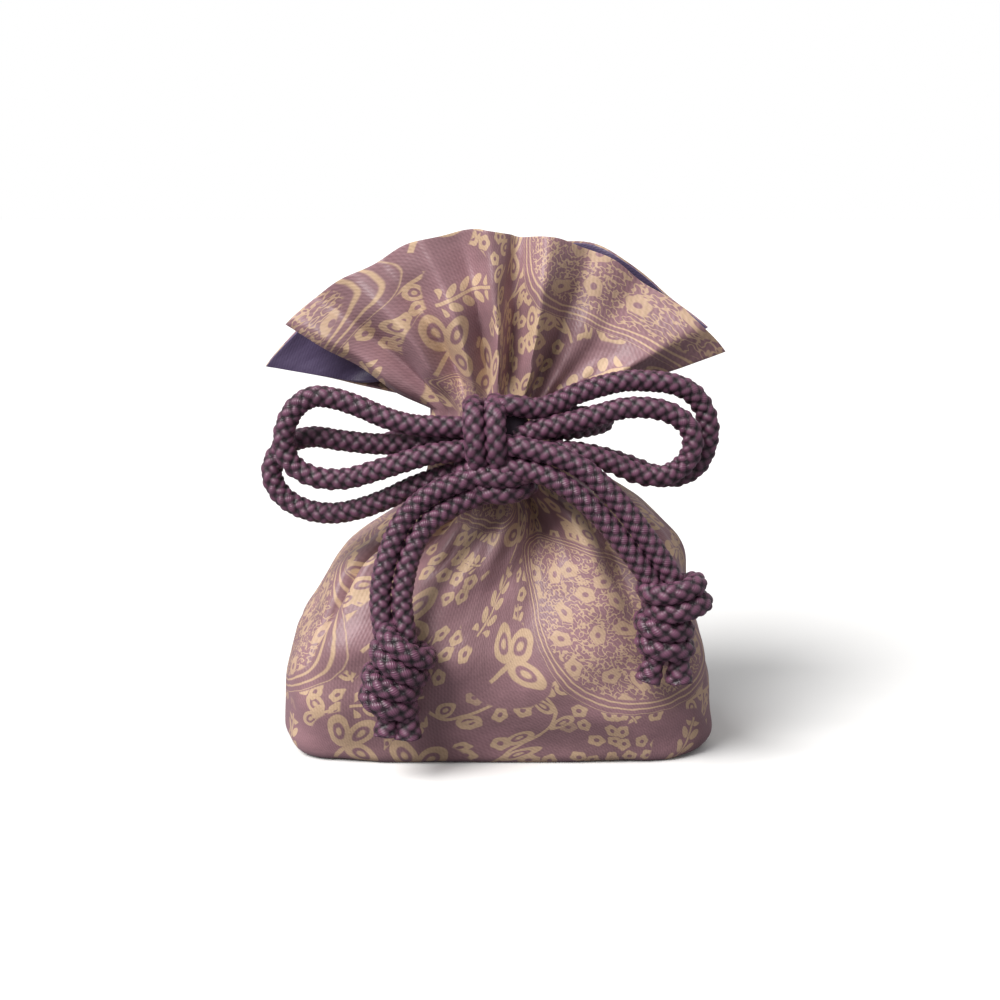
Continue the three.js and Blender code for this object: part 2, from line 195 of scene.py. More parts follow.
def join_meshes(name, meshes):
    bm = bmesh.new()
    for mesh in meshes:
        bm.from_mesh(mesh)
        bpy.data.meshes.remove(mesh)
    joined = bpy.data.meshes.new(name)
    bm.to_mesh(joined)
    bm.free()
    return joined


def settle(piece, body_slot, *nodes):
    """Rides on the pouch and stands for its solids."""
    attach(piece, "root")
    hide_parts(*nodes)


# Cords

# How finely a route's curve is worked out between two of its points, before it is walked in even steps.
CURVE_POINTS = 24

# The height in the braid's relief that lies at the cord's own radius.
CREST = 0.9


def smooth_route(points, step):
    """A centripetal curve through the points, walked in even steps, in millimetres."""
    knots = np.array(points, float)
    padded = np.vstack([2 * knots[0] - knots[1], knots, 2 * knots[-1] - knots[-2]])
    pieces = []
    for a, b, c, d in zip(padded, padded[1:], padded[2:], padded[3:]):
        t1 = math.sqrt(np.linalg.norm(b - a))
        t2 = t1 + math.sqrt(np.linalg.norm(c - b))
        t3 = t2 + math.sqrt(np.linalg.norm(d - c))
        t = np.linspace(t1, t2, CURVE_POINTS, endpoint=False)[:, None]
        ab = mix(a, b, t / t1)
        bc = mix(b, c, (t - t1) / (t2 - t1))
        cd = mix(c, d, (t - t2) / (t3 - t2))
        first, second = mix(ab, bc, t / t2), mix(bc, cd, (t - t1) / (t3 - t1))
        pieces.append(mix(first, second, (t - t1) / (t2 - t1)))
    line = np.vstack(pieces + [knots[-1:]])
    along = np.concatenate([[0], np.cumsum(np.linalg.norm(np.diff(line, axis=0), axis=1))])
    stations = np.linspace(0, along[-1], max(8, round(along[-1] / step)) + 1)
    return np.stack([np.interp(stations, along, line[:, k]) for k in range(3)], 1), stations


def carried_frames(line):
    """Two directions across the line that turn with it and don't spin."""
    tangents = np.gradient(line, axis=0)
    tangents /= np.linalg.norm(tangents, axis=1)[:, None]
    slanting = [0.3, 1.0, 0.2]
    across = np.cross(tangents[0], slanting)
    normals = []
    for tangent in tangents:
        across = across - tangent * np.dot(across, tangent)
        across /= np.linalg.norm(across)
        normals.append(across)
    normals = np.array(normals)
    return normals, np.cross(tangents, normals)


def braid_relief(along, angle, pitch):
    """Height of an eight-strand round braid, 0 to 1, and how far across its strand a point lies."""
    strands_each_way, half_width, roundness, weaving = 4, 0.66, 0.62, 0.38
    turn = angle * strands_each_way / TAU
    lay = along * strands_each_way / pitch
    best = np.full(turn.shape, -np.inf)
    side = np.zeros(turn.shape)
    for own, other, sign in ((turn - lay, turn + lay, 1), (turn + lay, turn - lay, -1)):
        for shift in (-1, 0, 1):
            strand = np.round(own) + shift
            across = own - strand
            over = sign * np.cos(math.pi * (other - strand))
            crown = np.sqrt(np.clip(1 - (across / half_width) ** 2, 0, 1))
            height = roundness * crown + weaving * over
            higher = height > best
            best = np.where(higher, height, best)
            side = np.where(higher, across, side)
    return np.clip(best, 0, 1), side


def braided_mesh(name, route, start=0.0, step=0.34, around=40, width=None):
    """A round braid along a route: a grid rolled into a tube that carries the strands' relief."""
    cord = bpy.context.scene.pouch_cord
    line, along = smooth_route(route, step)
    normals, binormals = carried_frames(line)
    mesh, row, column = unit_grid(name, len(line) - 1, around)
    angle = column * TAU / around
    radius = cord.diameter / MM / 2
    height, side = braid_relief(along[row] + start, angle, cord.pitch / MM)
    size = radius if width is None else radius * width(along / along[-1])[row]
    reach = size + (height - CREST) * cord.relief / MM
    points = line[row] + normals[row] * (reach * np.cos(angle))[:, None]
    points += binormals[row] * (reach * np.sin(angle))[:, None]
    place(mesh, points)
    corners = corner_vertices(mesh)
    flat = np.stack([along[row] + start, column * TAU * radius / around], 1) * MM
    write_uv(mesh, "Cord", flat[corners])
    write_value(mesh, "crown", height)
    write_value(mesh, "thread", side)
    close_up(mesh, cap=True)
    return mesh, line * MM


# The routes of the free cords, as in the solids, carried a little further into the knot.
LOOPS = {
    "left_loop_upper": [
        (-3, -26.4, 79.4), (-8.6, -27, 80), (-13, -27, 80.2), (-18.6, -26.6, 80.4), (-24.8, -26, 81.9),
        (-31.1, -25.5, 84.5), (-36.7, -25, 86.2), (-41.2, -25, 86.5), (-45, -25, 84.2), (-47.4, -25, 79.9),
        (-48, -25, 75.1), (-45.8, -25, 70.8), (-40.9, -25.5, 68.3), (-34.5, -26, 68), (-28.1, -27, 69.8),
        (-21.7, -28, 72), (-15.4, -28.2, 73.9), (-9, -28.2, 74.8), (-4, -27, 75),
    ],
    "left_loop_lower": [
        (-4.5, -23, 76.6), (-9.6, -23.6, 76.8), (-15.3, -23.4, 76), (-22.1, -21.8, 75.2), (-29, -20.4, 75.1),
        (-35.9, -19.5, 75.7), (-42.3, -19, 76.4), (-47.4, -19, 75), (-50.7, -19, 71.7), (-51.6, -19.5, 67.6),
        (-49.6, -20, 63.3), (-44.7, -21, 60.2), (-38.2, -22, 59.2), (-31.7, -23, 60.4), (-25.2, -24, 62.9),
        (-18.8, -24.5, 66), (-12.8, -25, 68.2), (-8.8, -25.3, 69.3), (-4, -25.6, 70.2),
    ],
    "right_loop_outer": [
        (-2.5, -27, 84.2), (3.2, -27.6, 85), (8.9, -25.8, 84), (13.2, -24.6, 85), (17.7, -24, 87),
        (23.3, -23.5, 88.7), (28.7, -23, 89.8), (34.2, -22.5, 89.7), (39.6, -22, 89), (44.1, -21, 86.8),
        (47, -20, 83), (48.3, -19.5, 78.5), (47.8, -19, 73.8), (45.7, -19, 69.6), (41.6, -19, 67.3),
        (36.3, -19.5, 67.6), (30.4, -20, 69.9), (24.6, -21, 71.9), (18.9, -21.6, 73.2), (13.6, -21.8, 73.6),
        (10.4, -22, 73.6), (5, -22.4, 73.6),
    ],
    "right_loop_inner": [
        (4, -26.6, 78), (10, -27, 79.4), (13.6, -27, 80.4), (18.5, -27, 81.6), (23.7, -26.5, 83),
        (28.6, -26, 84.1), (34, -25.5, 84.1), (39, -25, 82.8), (42.9, -25, 79.9), (44.1, -25, 76.2),
        (43.1, -25, 72.4), (40.2, -25, 69.6), (36.1, -25.5, 68.5), (31.5, -26, 69.3), (27, -26.5, 71.3),
        (22, -27, 73.2), (16.3, -27.5, 74.4), (10.8, -27.8, 74.5), (6, -27, 74.2),
    ],
}

TAILS = {
    "left_tail_outer": [
        (-3.4, -28.6, 69.4), (-7.6, -30.2, 68.4), (-12.5, -30.8, 66.6), (-16.5, -31.4, 64.3),
        (-20.8, -32.4, 60), (-23.6, -33.8, 54.2), (-25.3, -35, 48.5), (-26, -36, 42.6), (-25.6, -37, 38),
        (-24.9, -37.5, 33.8), (-24, -37.5, 29),
    ],
    "left_tail_inner": [
        (-1.6, -27.4, 65.2), (-5.6, -29.2, 64.2), (-10.1, -30.2, 62.4), (-13.5, -31.2, 60.5),
        (-16.8, -32.4, 57.2), (-19.2, -33.8, 52.4), (-20.5, -35, 47.5), (-21.2, -36, 42.4),
        (-20.8, -37, 38.3), (-20.2, -37.5, 33.8), (-20.6, -37.5, 29),
    ],
    "right_tail_outer": [
        (1, -29.6, 76.4), (4.6, -31.4, 76.4), (8.6, -32.2, 75.6), (13, -32.7, 74.6), (18.4, -32.8, 72),
        (23.6, -33.4, 67.8), (28.4, -33.8, 62.6), (32.6, -34, 57), (36, -34, 52.2), (38.8, -34, 47.6),
        (40, -33.8, 43),
    ],
    "right_tail_inner": [
        (0, -29.4, 71.6), (3.4, -31, 71.4), (7, -31.6, 71), (11.4, -32.4, 69.8), (15.6, -33, 67.4),
        (20.2, -33.6, 63.8), (24.6, -34, 59.2), (28.8, -34, 54), (32, -34, 49.8), (34.6, -34, 45.8),
        (36.4, -33.8, 42),
    ],
}

# The bow knot: two strands strapped down over its front, and wraps below that pass behind them.
KNOT_WRAPS = [
    [(-5.3, -19, 79), (-5.3, -21, 83), (-5.3, -26, 84.6), (-5.2, -30.6, 82.6), (-5, -32, 78.6),
        (-4.6, -31.4, 74.6), (-4, -29.2, 71.4), (-3.6, -25, 70)],
    [(-0.4, -19, 79.4), (-0.4, -21, 83.4), (-0.4, -26, 85), (-0.4, -30.8, 82.8), (-0.3, -32.2, 78.6),
        (0, -31.6, 74.6), (0.4, -29.2, 71.4), (0.6, -25, 70)],
    [(-3, -20, 71), (-6.6, -23, 71.2), (-7, -27.6, 70.4), (-3.6, -30.6, 69.8), (1, -31.3, 69.4),
        (5.6, -30, 69.8), (8.6, -26, 71), (7, -21.5, 72), (3, -19.6, 72)],
    [(-2, -20, 67.4), (-5, -22.6, 67.2), (-5.6, -26.6, 66.6), (-3, -29.4, 65.9), (1, -30.2, 65.4),
        (4.8, -29, 65.9), (7.2, -25.4, 67), (5.6, -21.4, 68), (2, -19.6, 68)],
]


# The end knots' coils: turns, drop in each turn, angle where they start, depth for their width.
COIL_TURNS = 1.9
COIL_PITCH = 4.6
COIL_START = 2.2
COIL_FLATNESS = 0.85


def coil_route(centre, lean, radius):
    """Points of a coil about a leaning axis, from its top down."""
    axis = np.array(lean, float) / np.linalg.norm(lean)
    right = np.cross([0.0, 1.0, 0.0], axis)
    right /= np.linalg.norm(right)
    front = np.cross(axis, right)
    points = []
    for angle in np.arange(0, COIL_TURNS * TAU + 0.01, TAU / 10):
        drop = (COIL_TURNS / 2 - angle / TAU) * COIL_PITCH
        spot = right * math.cos(angle + COIL_START) * radius
        spot += front * math.sin(angle + COIL_START) * radius * COIL_FLATNESS
        points.append(tuple(np.array(centre) + spot + axis * drop))
    return points


def flared(t):
    """How wide a cut cord end is along its length, 1 at first and wider in its last part."""
    spread, start = 0.3, 0.55
    return 1 + spread * ease((t - start) / 0.45)


# The shape of the cloth, which follows the solids with deeper and finer folds

# The wall: height share, shares of the way from neck to body in width and in depth, squareness, lean share.
WALL = np.array([
    (0, (BASE_WIDTH - NECK_WIDTH) / (BODY_WIDTH - NECK_WIDTH), 0.76, 5.4, 0),
    (0.07, 0.98, 0.83, 5, 0),
    (0.21, 1, 0.97, 4.4, 0),
    (0.39, 0.93, 1.02, 3.6, 0),
    (0.5, 0.84, 0.94, 3.1, 0.2),
    (0.65, 0.7, 0.8, 2.7, 0.55),
    (0.75, 0.51, 0.63, 2.4, 0.9),
    (0.82, 0.34, 0.45, 2.2, 1),
    (0.91, 0.13, 0.2, 2, 0.65),
    (1, 0, 0, 2, 0),
])

# Folds of the body: place at the neck and at the foot as a share of the way round, height share where
# they begin, depth with ridges negative, width. The deepest follow the solids' folds, the others are
# creases of the visible cloth alone.
BODY_FOLDS = [
    (0.1, 0.19, 0.46, 9.5, 0.026),
    (0.215, 0.185, 0.5, 3.2, 0.02),
    (0.268, 0.257, 0.42, 10.2, 0.022),
    (0.225, 0.222, 0.36, -4, 0.03),
    (0.062, 0.112, 0.3, 6.5, 0.01),
    (0.085, 0.135, 0.34, -2.4, 0.016),
    (0.3, 0.315, 0.44, -3.2, 0.024),
    (0.34, 0.345, 0.5, 4.4, 0.016),
    (0.375, 0.385, 0.5, -2.4, 0.018),
    (0.43, 0.41, 0.5, 4.2, 0.016),
    (0.57, 0.59, 0.5, 3.3, 0.022),
    (0.68, 0.66, 0.42, 5.2, 0.03),
    (0.78, 0.79, 0.5, 5.9, 0.028),
    (0.9, 0.87, 0.45, 3.9, 0.026),
    (0.02, 0.03, 0.42, 2.6, 0.012),
    (0.155, 0.22, 0.5, 1.6, 0.008),
    (0.205, 0.236, 0.58, 2.2, 0.009),
    (0.243, 0.243, 0.6, 1.6, 0.007),
    (0.287, 0.285, 0.52, 1.7, 0.008),
    (0.318, 0.335, 0.56, 1.5, 0.007),
    (0.395, 0.43, 0.6, 1.4, 0.008),
    (0.46, 0.455, 0.5, 1.6, 0.01),
    (0.62, 0.62, 0.55, 1.6, 0.01),
    (0.73, 0.725, 0.6, 1.6, 0.01),
    (0.84, 0.83, 0.55, 1.6, 0.01),
    (0.95, 0.94, 0.5, 1.6, 0.01),
]

# Pleats: place at the neck and at the rim, height at the neck, in the middle and at the rim, width.
PLEATS = [
    (0.09, 0.076, 1, 3.4, 3.2, 0.018),
    (0.125, 0.098, -0.6, -3.2, -2.2, 0.015),
    (0.165, 0.128, 0.8, 4.2, 1.6, 0.017),
    (0.19, 0.152, -1, -5.6, -2.4, 0.014),
    (0.215, 0.185, 0.9, 3.6, 2.4, 0.012),
    (0.236, 0.212, -0.6, -4.4, -1.6, 0.011),
    (0.252, 0.232, 0.9, 3.6, 2.4, 0.009),
    (0.27, 0.252, -1, -6.2, -3.2, 0.013),
    (0.294, 0.276, 1, 4.6, 2.8, 0.012),
    (0.318, 0.308, -0.8, -5.4, -3.0, 0.017),
    (0.352, 0.352, 0.3, -1.6, -2.6, 0.026),
    (0.392, 0.405, 0.9, 5.6, 3.6, 0.019),
    (0.6, 0.59, 0.9, 5, 2.9, 0.022),
    (0.65, 0.65, -0.9, -5.5, -3.4, 0.022),
    (0.7, 0.71, 1, 5.5, 3.8, 0.022),
    (0.76, 0.77, -1, -5.5, -3.8, 0.022),
    (0.82, 0.835, 1, 5.5, 3.8, 0.022),
    (0.87, 0.89, -0.8, -4, -2.5, 0.02),
]


def ridge(turn, middle, width):
    """One ridge, about 1 high at its place round the bag, creased along its middle."""
    apart = ((turn - middle + 0.5) % 1 - 0.5) / width
    rounded = np.exp(-(apart**2))
    creased = 1.2 * np.exp(-np.sqrt(apart**2 + 0.03) * 1.7)
    return 0.4 * rounded + 0.6 * creased


def gathers(turn):
    """Many small gathers as the drawn cord bunches the cloth, about 1 high."""
    phase = TAU * 27 * turn + 1.9 * np.sin(TAU * 3 * turn) + 1.1 * np.sin(TAU * 7 * turn + 1)
    return (1 - 2 * np.sqrt(np.sin(phase / 2) ** 2 + 0.02)) * (0.7 + 0.3 * np.sin(TAU * 5 * turn + 2))


def pleats(turn, up):
    """Height of the pleats, from the neck, where up is 0, to the rim, where it is 1."""
    grown = ease(up / 0.32)
    spread = ease((up - 0.35) / 0.65)
    total = np.zeros(np.broadcast(turn, up).shape)
    for neck, rim, low, middle, high, width in PLEATS:
        total += ridge(turn, mix(neck, rim, up), width) * mix(mix(low, middle, grown), high, spread)
    return total


def body_folds(turn, height):
    """Height of the body's folds, pleats and gathers. height is a share, 1 at the channel."""
    peak = 0.78
    total = np.zeros(np.broadcast(turn, height).shape)
    for neck, foot, start, depth, width in BODY_FOLDS:
        up = np.clip((height - start) / (1 - start), 0, 1)
        grown = ease((height - start + 0.1) / (peak - start + 0.1))
        fading = 1 - ease((height - 0.84) / 0.16)
        total -= depth * grown * fading * ridge(turn, mix(foot, neck, up), width)
    total += pleats(turn, 0 * height) * ease((height - 0.85) / 0.15)
    return total + GATHER_HEIGHT * gathers(turn) * ease((height - 0.72) / 0.25)


def section(turn, half_width, half_depth, squareness, shift, z):
    """A level ring round the bag, an ellipse at squareness 2. turn runs from the left seam by the front."""
    angle = math.pi + TAU * turn
    x = shift + half_width * np.sign(np.cos(angle)) * np.abs(np.cos(angle)) ** (2 / squareness)
    y = half_depth * np.sign(np.sin(angle)) * np.abs(np.sin(angle)) ** (2 / squareness)
    return np.stack([x, y, z + 0 * x], -1)


def outward(turn, half_width, half_depth):
    """Level directions that point out of such a ring."""
    angle = math.pi + TAU * turn
    x, y = np.cos(angle) / half_width, np.sin(angle) / half_depth
    size = np.hypot(x, y)
    return np.stack([x / size, y / size, 0 * x], -1)


def taken_up(folds, share):
    """The folds one layer takes: ridges cut to its share, hollows kept, and none at no share."""
    return np.where(np.asarray(share) > 0, np.minimum(folds * share, folds), 0.0)


def wall_points(turn, height, share):
    wide, deep, squareness, lean = (smooth_through(height, WALL[:, 0], WALL[:, k]) for k in range(1, 5))
    half_width = mix(NECK_WIDTH, BODY_WIDTH, wide) / 2
    half_depth = mix(NECK_DEPTH, BODY_DEPTH, deep) / 2
    z = height * CHANNEL_BOTTOM
    points = section(turn, half_width, half_depth, squareness, lean * SHOULDER_LEAN, z)
    away = outward(turn, half_width, half_depth)
    corner = np.clip(1 - z / FOOT_ROUNDING, 0, 1)
    rolled = -FOOT_ROUNDING * (1 - np.sqrt(1 - corner**2))
    wander = 2 * np.sin(TAU * 3 * turn)
    sag = -FOOT_SAG * away[..., 1] ** 2 * np.exp(-(((z - 5 - wander) / FOOT_REACH) ** 2))
    seam = -SEAM_DEPTH * (ridge(turn, 0, SEAM_WIDTH) + ridge(turn, 0.5, SEAM_WIDTH)) * ease(z / 6)
    spread = FOOT_SPREAD * away[..., 0] ** 2 * np.exp(-(((z - 3) / FOOT_REACH) ** 2))
    folds = taken_up(body_folds(turn, height) + seam, share)
    return points + away * (folds + rolled + sag + spread)[..., None]


def channel_points(turn, z, share):
    points = section(turn, NECK_WIDTH / 2, NECK_DEPTH / 2, 2, 0, z)
    folds = taken_up(pleats(turn, 0 * z) + GATHER_HEIGHT * gathers(turn), share)
    return points + outward(turn, NECK_WIDTH, NECK_DEPTH) * folds[..., None]


def rim_points(turn):
    """The rim of each flap: a fan about a point in the neck, wider at the corners."""
    front = turn < 0.5
    along = np.where(front, turn - SLIT, 1 - SLIT - turn) / (0.5 - 2 * SLIT)
    left = np.where(front, FRONT_FAN[0], BACK_FAN[0])
    right = np.where(front, FRONT_FAN[1], BACK_FAN[1])
    angle = np.radians(mix(left, right, along))
    corner = np.abs(2 * along - 1) ** 3
    reach = RUFFLE_RADIUS + np.where(front, 0, BACK_DROP * (corner - 1)) + CORNER_REACH * corner
    uneven = 0.7 * np.sin(along * 19 + 1) + 0.45 * np.sin(along * 43 + 2)
    near_right = np.exp(-(((np.degrees(angle) - 60) / 11) ** 2))
    reach = reach + uneven * (1 - corner)
    reach = reach + np.where(front, FRONT_RIM_RISE, BACK_RIM_RISE) * near_right
    y = np.where(front, mix(-9, -4.5, corner), mix(8, 4.5, corner))
    return np.stack([reach * np.cos(angle), y, FAN_CENTRE + reach * np.sin(angle)], -1)


def ruffle_points(turn, up, share):
    low = section(turn, NECK_WIDTH / 2, NECK_DEPTH / 2, 2, 0, CHANNEL_TOP)
    side = np.stack([0 * turn, np.where(turn < 0.5, -1.0, 1.0), 0 * turn], -1)
    across = mix(outward(turn, NECK_WIDTH, NECK_DEPTH), side, ease(2 * up)[..., None])
    across /= np.linalg.norm(across, axis=-1)[..., None]
    small = (GATHER_HEIGHT + 0.6 * ease(up / 0.12)) * gathers(turn) * (1 - ease(up / 0.6))
    height = RUFFLE_BULGE * np.sin(math.pi * up) + taken_up(pleats(turn, up) + small, share)
    return mix(low, rim_points(turn), up[..., None]) + across * height[..., None]


# Soft waves of the loose cloth: direction in radians, length, phase, height.
WAVES = (
    (0.3, 31, 0.4, 0.4), (1.2, 24, 2.1, 0.36), (2.2, 19, 4.0, 0.28), (2.8, 27, 1.3, 0.34),
    (0.9, 13, 5.2, 0.14), (1.9, 11, 3.1, 0.12), (0.2, 9, 1.0, 0.08),
)


def undulation(u, v):
    """A soft unevenness of loose cloth, in millimetres."""
    total = 0 * u
    for angle, length, phase, size in WAVES:
        total = total + size * np.sin((u * math.cos(angle) + v * math.sin(angle)) * TAU / length + phase)
    return total


def cloth_rows(wall, channel, ruffle):
    """Row by row, the zone and how far through it. Rows are closer at the corner of the base."""
    rows = [(ON_BASE, at) for at in (0, 0.15, 0.3, 0.45, 0.6, 0.75, 0.88, 0.95, 0.985)]
    rows += [(ON_WALL, at) for at in (0, 0.0015, 0.006, 0.014, 0.024)]
    rows += [(ON_WALL, mix(0.036, 1, i / wall)) for i in range(wall)]
    rows += [(ON_CHANNEL, i / channel) for i in range(channel)]
    rows += [(ON_RUFFLE, i / ruffle) for i in range(ruffle + 1)]
    return np.array(rows)


def cloth_columns(front, back, slit):
    """Places of the columns on the way round, so many to the front, the back and half a slit."""
    spans = (
        (0, SLIT, slit), (SLIT, 0.5 - SLIT, front), (0.5 - SLIT, 0.5 + SLIT, 2 * slit),
        (0.5 + SLIT, 1 - SLIT, back), (1 - SLIT, 1, slit),
    )
    turns = np.concatenate([np.linspace(a, b, count, endpoint=False) for a, b, count in spans])
    return np.append(turns, 1.0)


def zone_points(zone, at, turn, share):
    at, turn, share = np.broadcast_arrays(at, turn, share)
    if zone == ON_BASE:
        edge = wall_points(turn, 0 * at, 0 * share)
        return edge * np.stack([at, at, 0 * at], -1)
    if zone == ON_WALL:
        return wall_points(turn, at, share)
    if zone == ON_CHANNEL:
        return channel_points(turn, mix(CHANNEL_BOTTOM, CHANNEL_TOP, at), share)
    return ruffle_points(turn, at, share)


def channel_share(rows, reach):
    """How much the lining gives way to the cord channel, row by row, fading out up the ruffle."""
    zone, at = rows[:, 0], rows[:, 1]
    wall = ease((at - 0.82) / 0.16)
    ruffle = 1 - ease(at / reach)
    return np.select([zone == ON_WALL, zone == ON_CHANNEL, zone == ON_RUFFLE], [wall, 1.0, ruffle], 0.0)


def grid_normals(points, turns, rows):
    """Outward normals of the grid, taken on one flap at a time in the ruffle."""
    along = np.roll(points[:, :-1], -1, 1) - np.roll(points[:, :-1], 1, 1)
    along = np.concatenate([along, along[:, :1]], 1)
    ruffle = rows[:, 0] == ON_RUFFLE
    for edge, step in ((SLIT, 1), (0.5 - SLIT, -1), (0.5 + SLIT, 1), (1 - SLIT, -1)):
        c = int(np.argmin(np.abs(turns - edge)))
        along[ruffle, c] = step * (points[ruffle, c + step] - points[ruffle, c])
    up = np.gradient(points, axis=0)
    normals = np.cross(along, up)
    size = np.linalg.norm(normals, axis=-1)[..., None]
    normals = normals / np.where(size > 1e-9, size, 1)
    normals[rows[:, 0] == ON_BASE] = (0, 0, -1)
    return normals


def row_steps(rows):
    """Length of cloth from row to row, up the middle of the front."""
    quarter = np.full(1, 0.25)
    line = np.concatenate([zone_points(int(zone), at, quarter, 0.0) for zone, at in rows])
    return np.linalg.norm(np.diff(line, axis=0), axis=1)


def cloth_width(turns):
    """How far round the flat cloth each column lies, in millimetres from the middle of the front."""
    dense = np.linspace(0, 1, 2001)
    ring = wall_points(dense, np.full(dense.shape, 0.3), 0.0)
    along = np.concatenate([[0], np.cumsum(np.linalg.norm(np.diff(ring, axis=0), axis=1))])
    return np.interp(turns, dense, along) - np.interp(0.25, dense, along)


def cloth_mesh(name, columns, rows, depth, room, slit_from):
    """The whole cloth as one grid round the bag, cut open at the two side slits.

    Its outside lies depth millimetres in from the bag's, and room more where the channel holds the cord.
    """
    turns = cloth_columns(*columns)
    rows = cloth_rows(*rows)
    least = 0.01  # the channel's cord takes up the lining's ridges, and its hollows stay
    share = np.maximum(1 - channel_share(rows, reach=0.15), least) if room else np.ones(len(rows))
    points = np.stack([
        zone_points(int(zone), at, turns, part) for (zone, at), part in zip(rows, share)
    ])
    unfolded = np.stack([zone_points(int(zone), at, turns, 0.0) for zone, at in rows])
    normals = grid_normals(unfolded, turns, rows)
    level = np.concatenate([[0], np.cumsum(row_steps(rows))])
    around = cloth_width(turns)
    channel = channel_share(rows, reach=0.6)
    inside = depth + room * channel
    loose = (rows[:, 0] > ON_BASE) * ease(level / 50) * (1 - channel)
    # The waves fade out at the left seam, where the first and the last column meet.
    meeting = ease(np.minimum(turns, 1 - turns) / 0.04)
    wavy = undulation(around[None, :], level[:, None]) * loose[:, None] * meeting
    points = points + normals * (wavy - inside[:, None])[..., None]
    points[..., 2] = np.maximum(points[..., 2], depth)

    mesh, column, row = unit_grid(name, len(turns) - 1, len(rows) - 1)
    place(mesh, points[row, column])
    corners = corner_vertices(mesh)
    flat = np.stack([around[column], level[row]], 1)[corners]
    top_row = row[corners].reshape(-1, 4).max(1)
    under = np.repeat(top_row <= np.argmax(rows[:, 0] > ON_BASE), 4)
    beside_wall = (0, -60)
    flat[under] = points[row, column][corners][under][:, :2] + beside_wall
    write_uv(mesh, "Cloth", flat * MM)
    low_row = row[corners].reshape(-1, 4).min(1)
    middle = turns[column[corners].reshape(-1, 4)].mean(1)
    in_slit = np.abs((middle + 0.25) % 0.5 - 0.25) < SLIT
    open_rows = rows[:, 0] >= slit_from
    close_up(mesh, unwanted=in_slit & open_rows[low_row])
    return mesh


# Shader arithmetic


class Field:
    """A shader value that takes ordinary arithmetic; each step adds one node."""

    def __init__(self, tree, socket):
        self.tree = tree
        self.socket = socket

    def math(self, operation, *others):
        node = self.tree.nodes.new("ShaderNodeMath")
        node.operation = operation
        for entry, value in zip(node.inputs, (self, *others)):
            plug(self.tree, value, entry)
        return Field(self.tree, node.outputs[0])

    def __add__(self, other):
        return self.math("ADD", other)

    def __sub__(self, other):
        return self.math("SUBTRACT", other)

    def __mul__(self, other):
        return self.math("MULTIPLY", other)

    def __truediv__(self, other):
        return self.math("DIVIDE", other)

    def __abs__(self):
        return self.math("ABSOLUTE")

    def sin(self):
        return self.math("SINE")

    def cos(self):
        return self.math("COSINE")

    def root(self):
        return self.math("SQRT")

    def squared(self):
        return self.math("MULTIPLY", self)

    def most(self, other):
        return self.math("MAXIMUM", other)

    def least(self, other):
        return self.math("MINIMUM", other)

    def inverted(self):
        return self * -1.0 + 1.0

    def repeated(self, length):
        """Cuts the line into stretches of this length, each from minus to plus half of it."""
        return self.math("WRAP", length / 2, -length / 2)

    def rise(self, low, high):
        """0 up to the low value, 1 from the high one on, and soft between them."""
        node = self.tree.nodes.new("ShaderNodeMapRange")
        node.interpolation_type = "SMOOTHSTEP"
        plug(self.tree, self, node.inputs["Value"])
        node.inputs["From Min"].default_value = low
        node.inputs["From Max"].default_value = high
        return Field(self.tree, node.outputs["Result"])

    def under(self, limit, soft):
        """1 where the value is under the limit, with a soft edge."""
        return self.rise(limit - soft, limit + soft).inverted()


def plug(tree, value, entry):
    """Links a field to a socket, or sets a plain value on it."""
    if isinstance(value, Field):
        tree.links.new(value.socket, entry)
    else:
        entry.default_value = value


def new_material(name):
    material = bpy.data.materials.new(name)
    material.use_nodes = True
    tree = material.node_tree
    shader = next(node for node in tree.nodes if node.type == "BSDF_PRINCIPLED")
    return material, tree, shader


def uv_fields(tree, layer):
    """The two coordinates of a UV map, in millimetres."""
    node = tree.nodes.new("ShaderNodeUVMap")
    node.uv_map = layer
    split = tree.nodes.new("ShaderNodeSeparateXYZ")
    tree.links.new(node.outputs["UV"], split.inputs["Vector"])
    return tuple(Field(tree, split.outputs[axis]) * (1 / MM) for axis in "XY")


def combine(tree, x, y):
    """A vector from two values, with nothing in Z."""
    node = tree.nodes.new("ShaderNodeCombineXYZ")
    for value, entry in zip((x, y), node.inputs):
        plug(tree, value, entry)
    return Field(tree, node.outputs["Vector"])


def noise(tree, x, y, size, detail=2.0):
    """Soft noise, 0 to 1, with lumps of about this size."""
    node = tree.nodes.new("ShaderNodeTexNoise")
    node.inputs["Scale"].default_value = 1.0
    node.inputs["Detail"].default_value = detail
    plug(tree, combine(tree, x / size, y / size), node.inputs["Vector"])
    return Field(tree, node.outputs["Fac"])


def blend(tree, share, low, high):
    """Mixes two colours, each a tuple or a field."""
    node = tree.nodes.new("ShaderNodeMix")
    node.data_type = "RGBA"
    plug(tree, share, node.inputs[0])
    first_colour, second_colour, result = 6, 7, 2
    for value, entry in ((low, node.inputs[first_colour]), (high, node.inputs[second_colour])):
        plug(tree, value if isinstance(value, Field) else (*value, 1.0), entry)
    return Field(tree, node.outputs[result])


def add_bump(tree, height, distance, strength, before=None):
    node = tree.nodes.new("ShaderNodeBump")
    node.inputs["Distance"].default_value = distance
    node.inputs["Strength"].default_value = strength
    plug(tree, height, node.inputs["Height"])
    if before is not None:
        tree.links.new(before, node.inputs["Normal"])
    return node.outputs["Normal"]


# The brocade's pattern


def turned(x, y, angle):
    """Coordinates in a frame turned by a fixed angle in degrees."""
    c, s = math.cos(math.radians(angle)), math.sin(math.radians(angle))
    return x * c + y * s, y * c - x * s


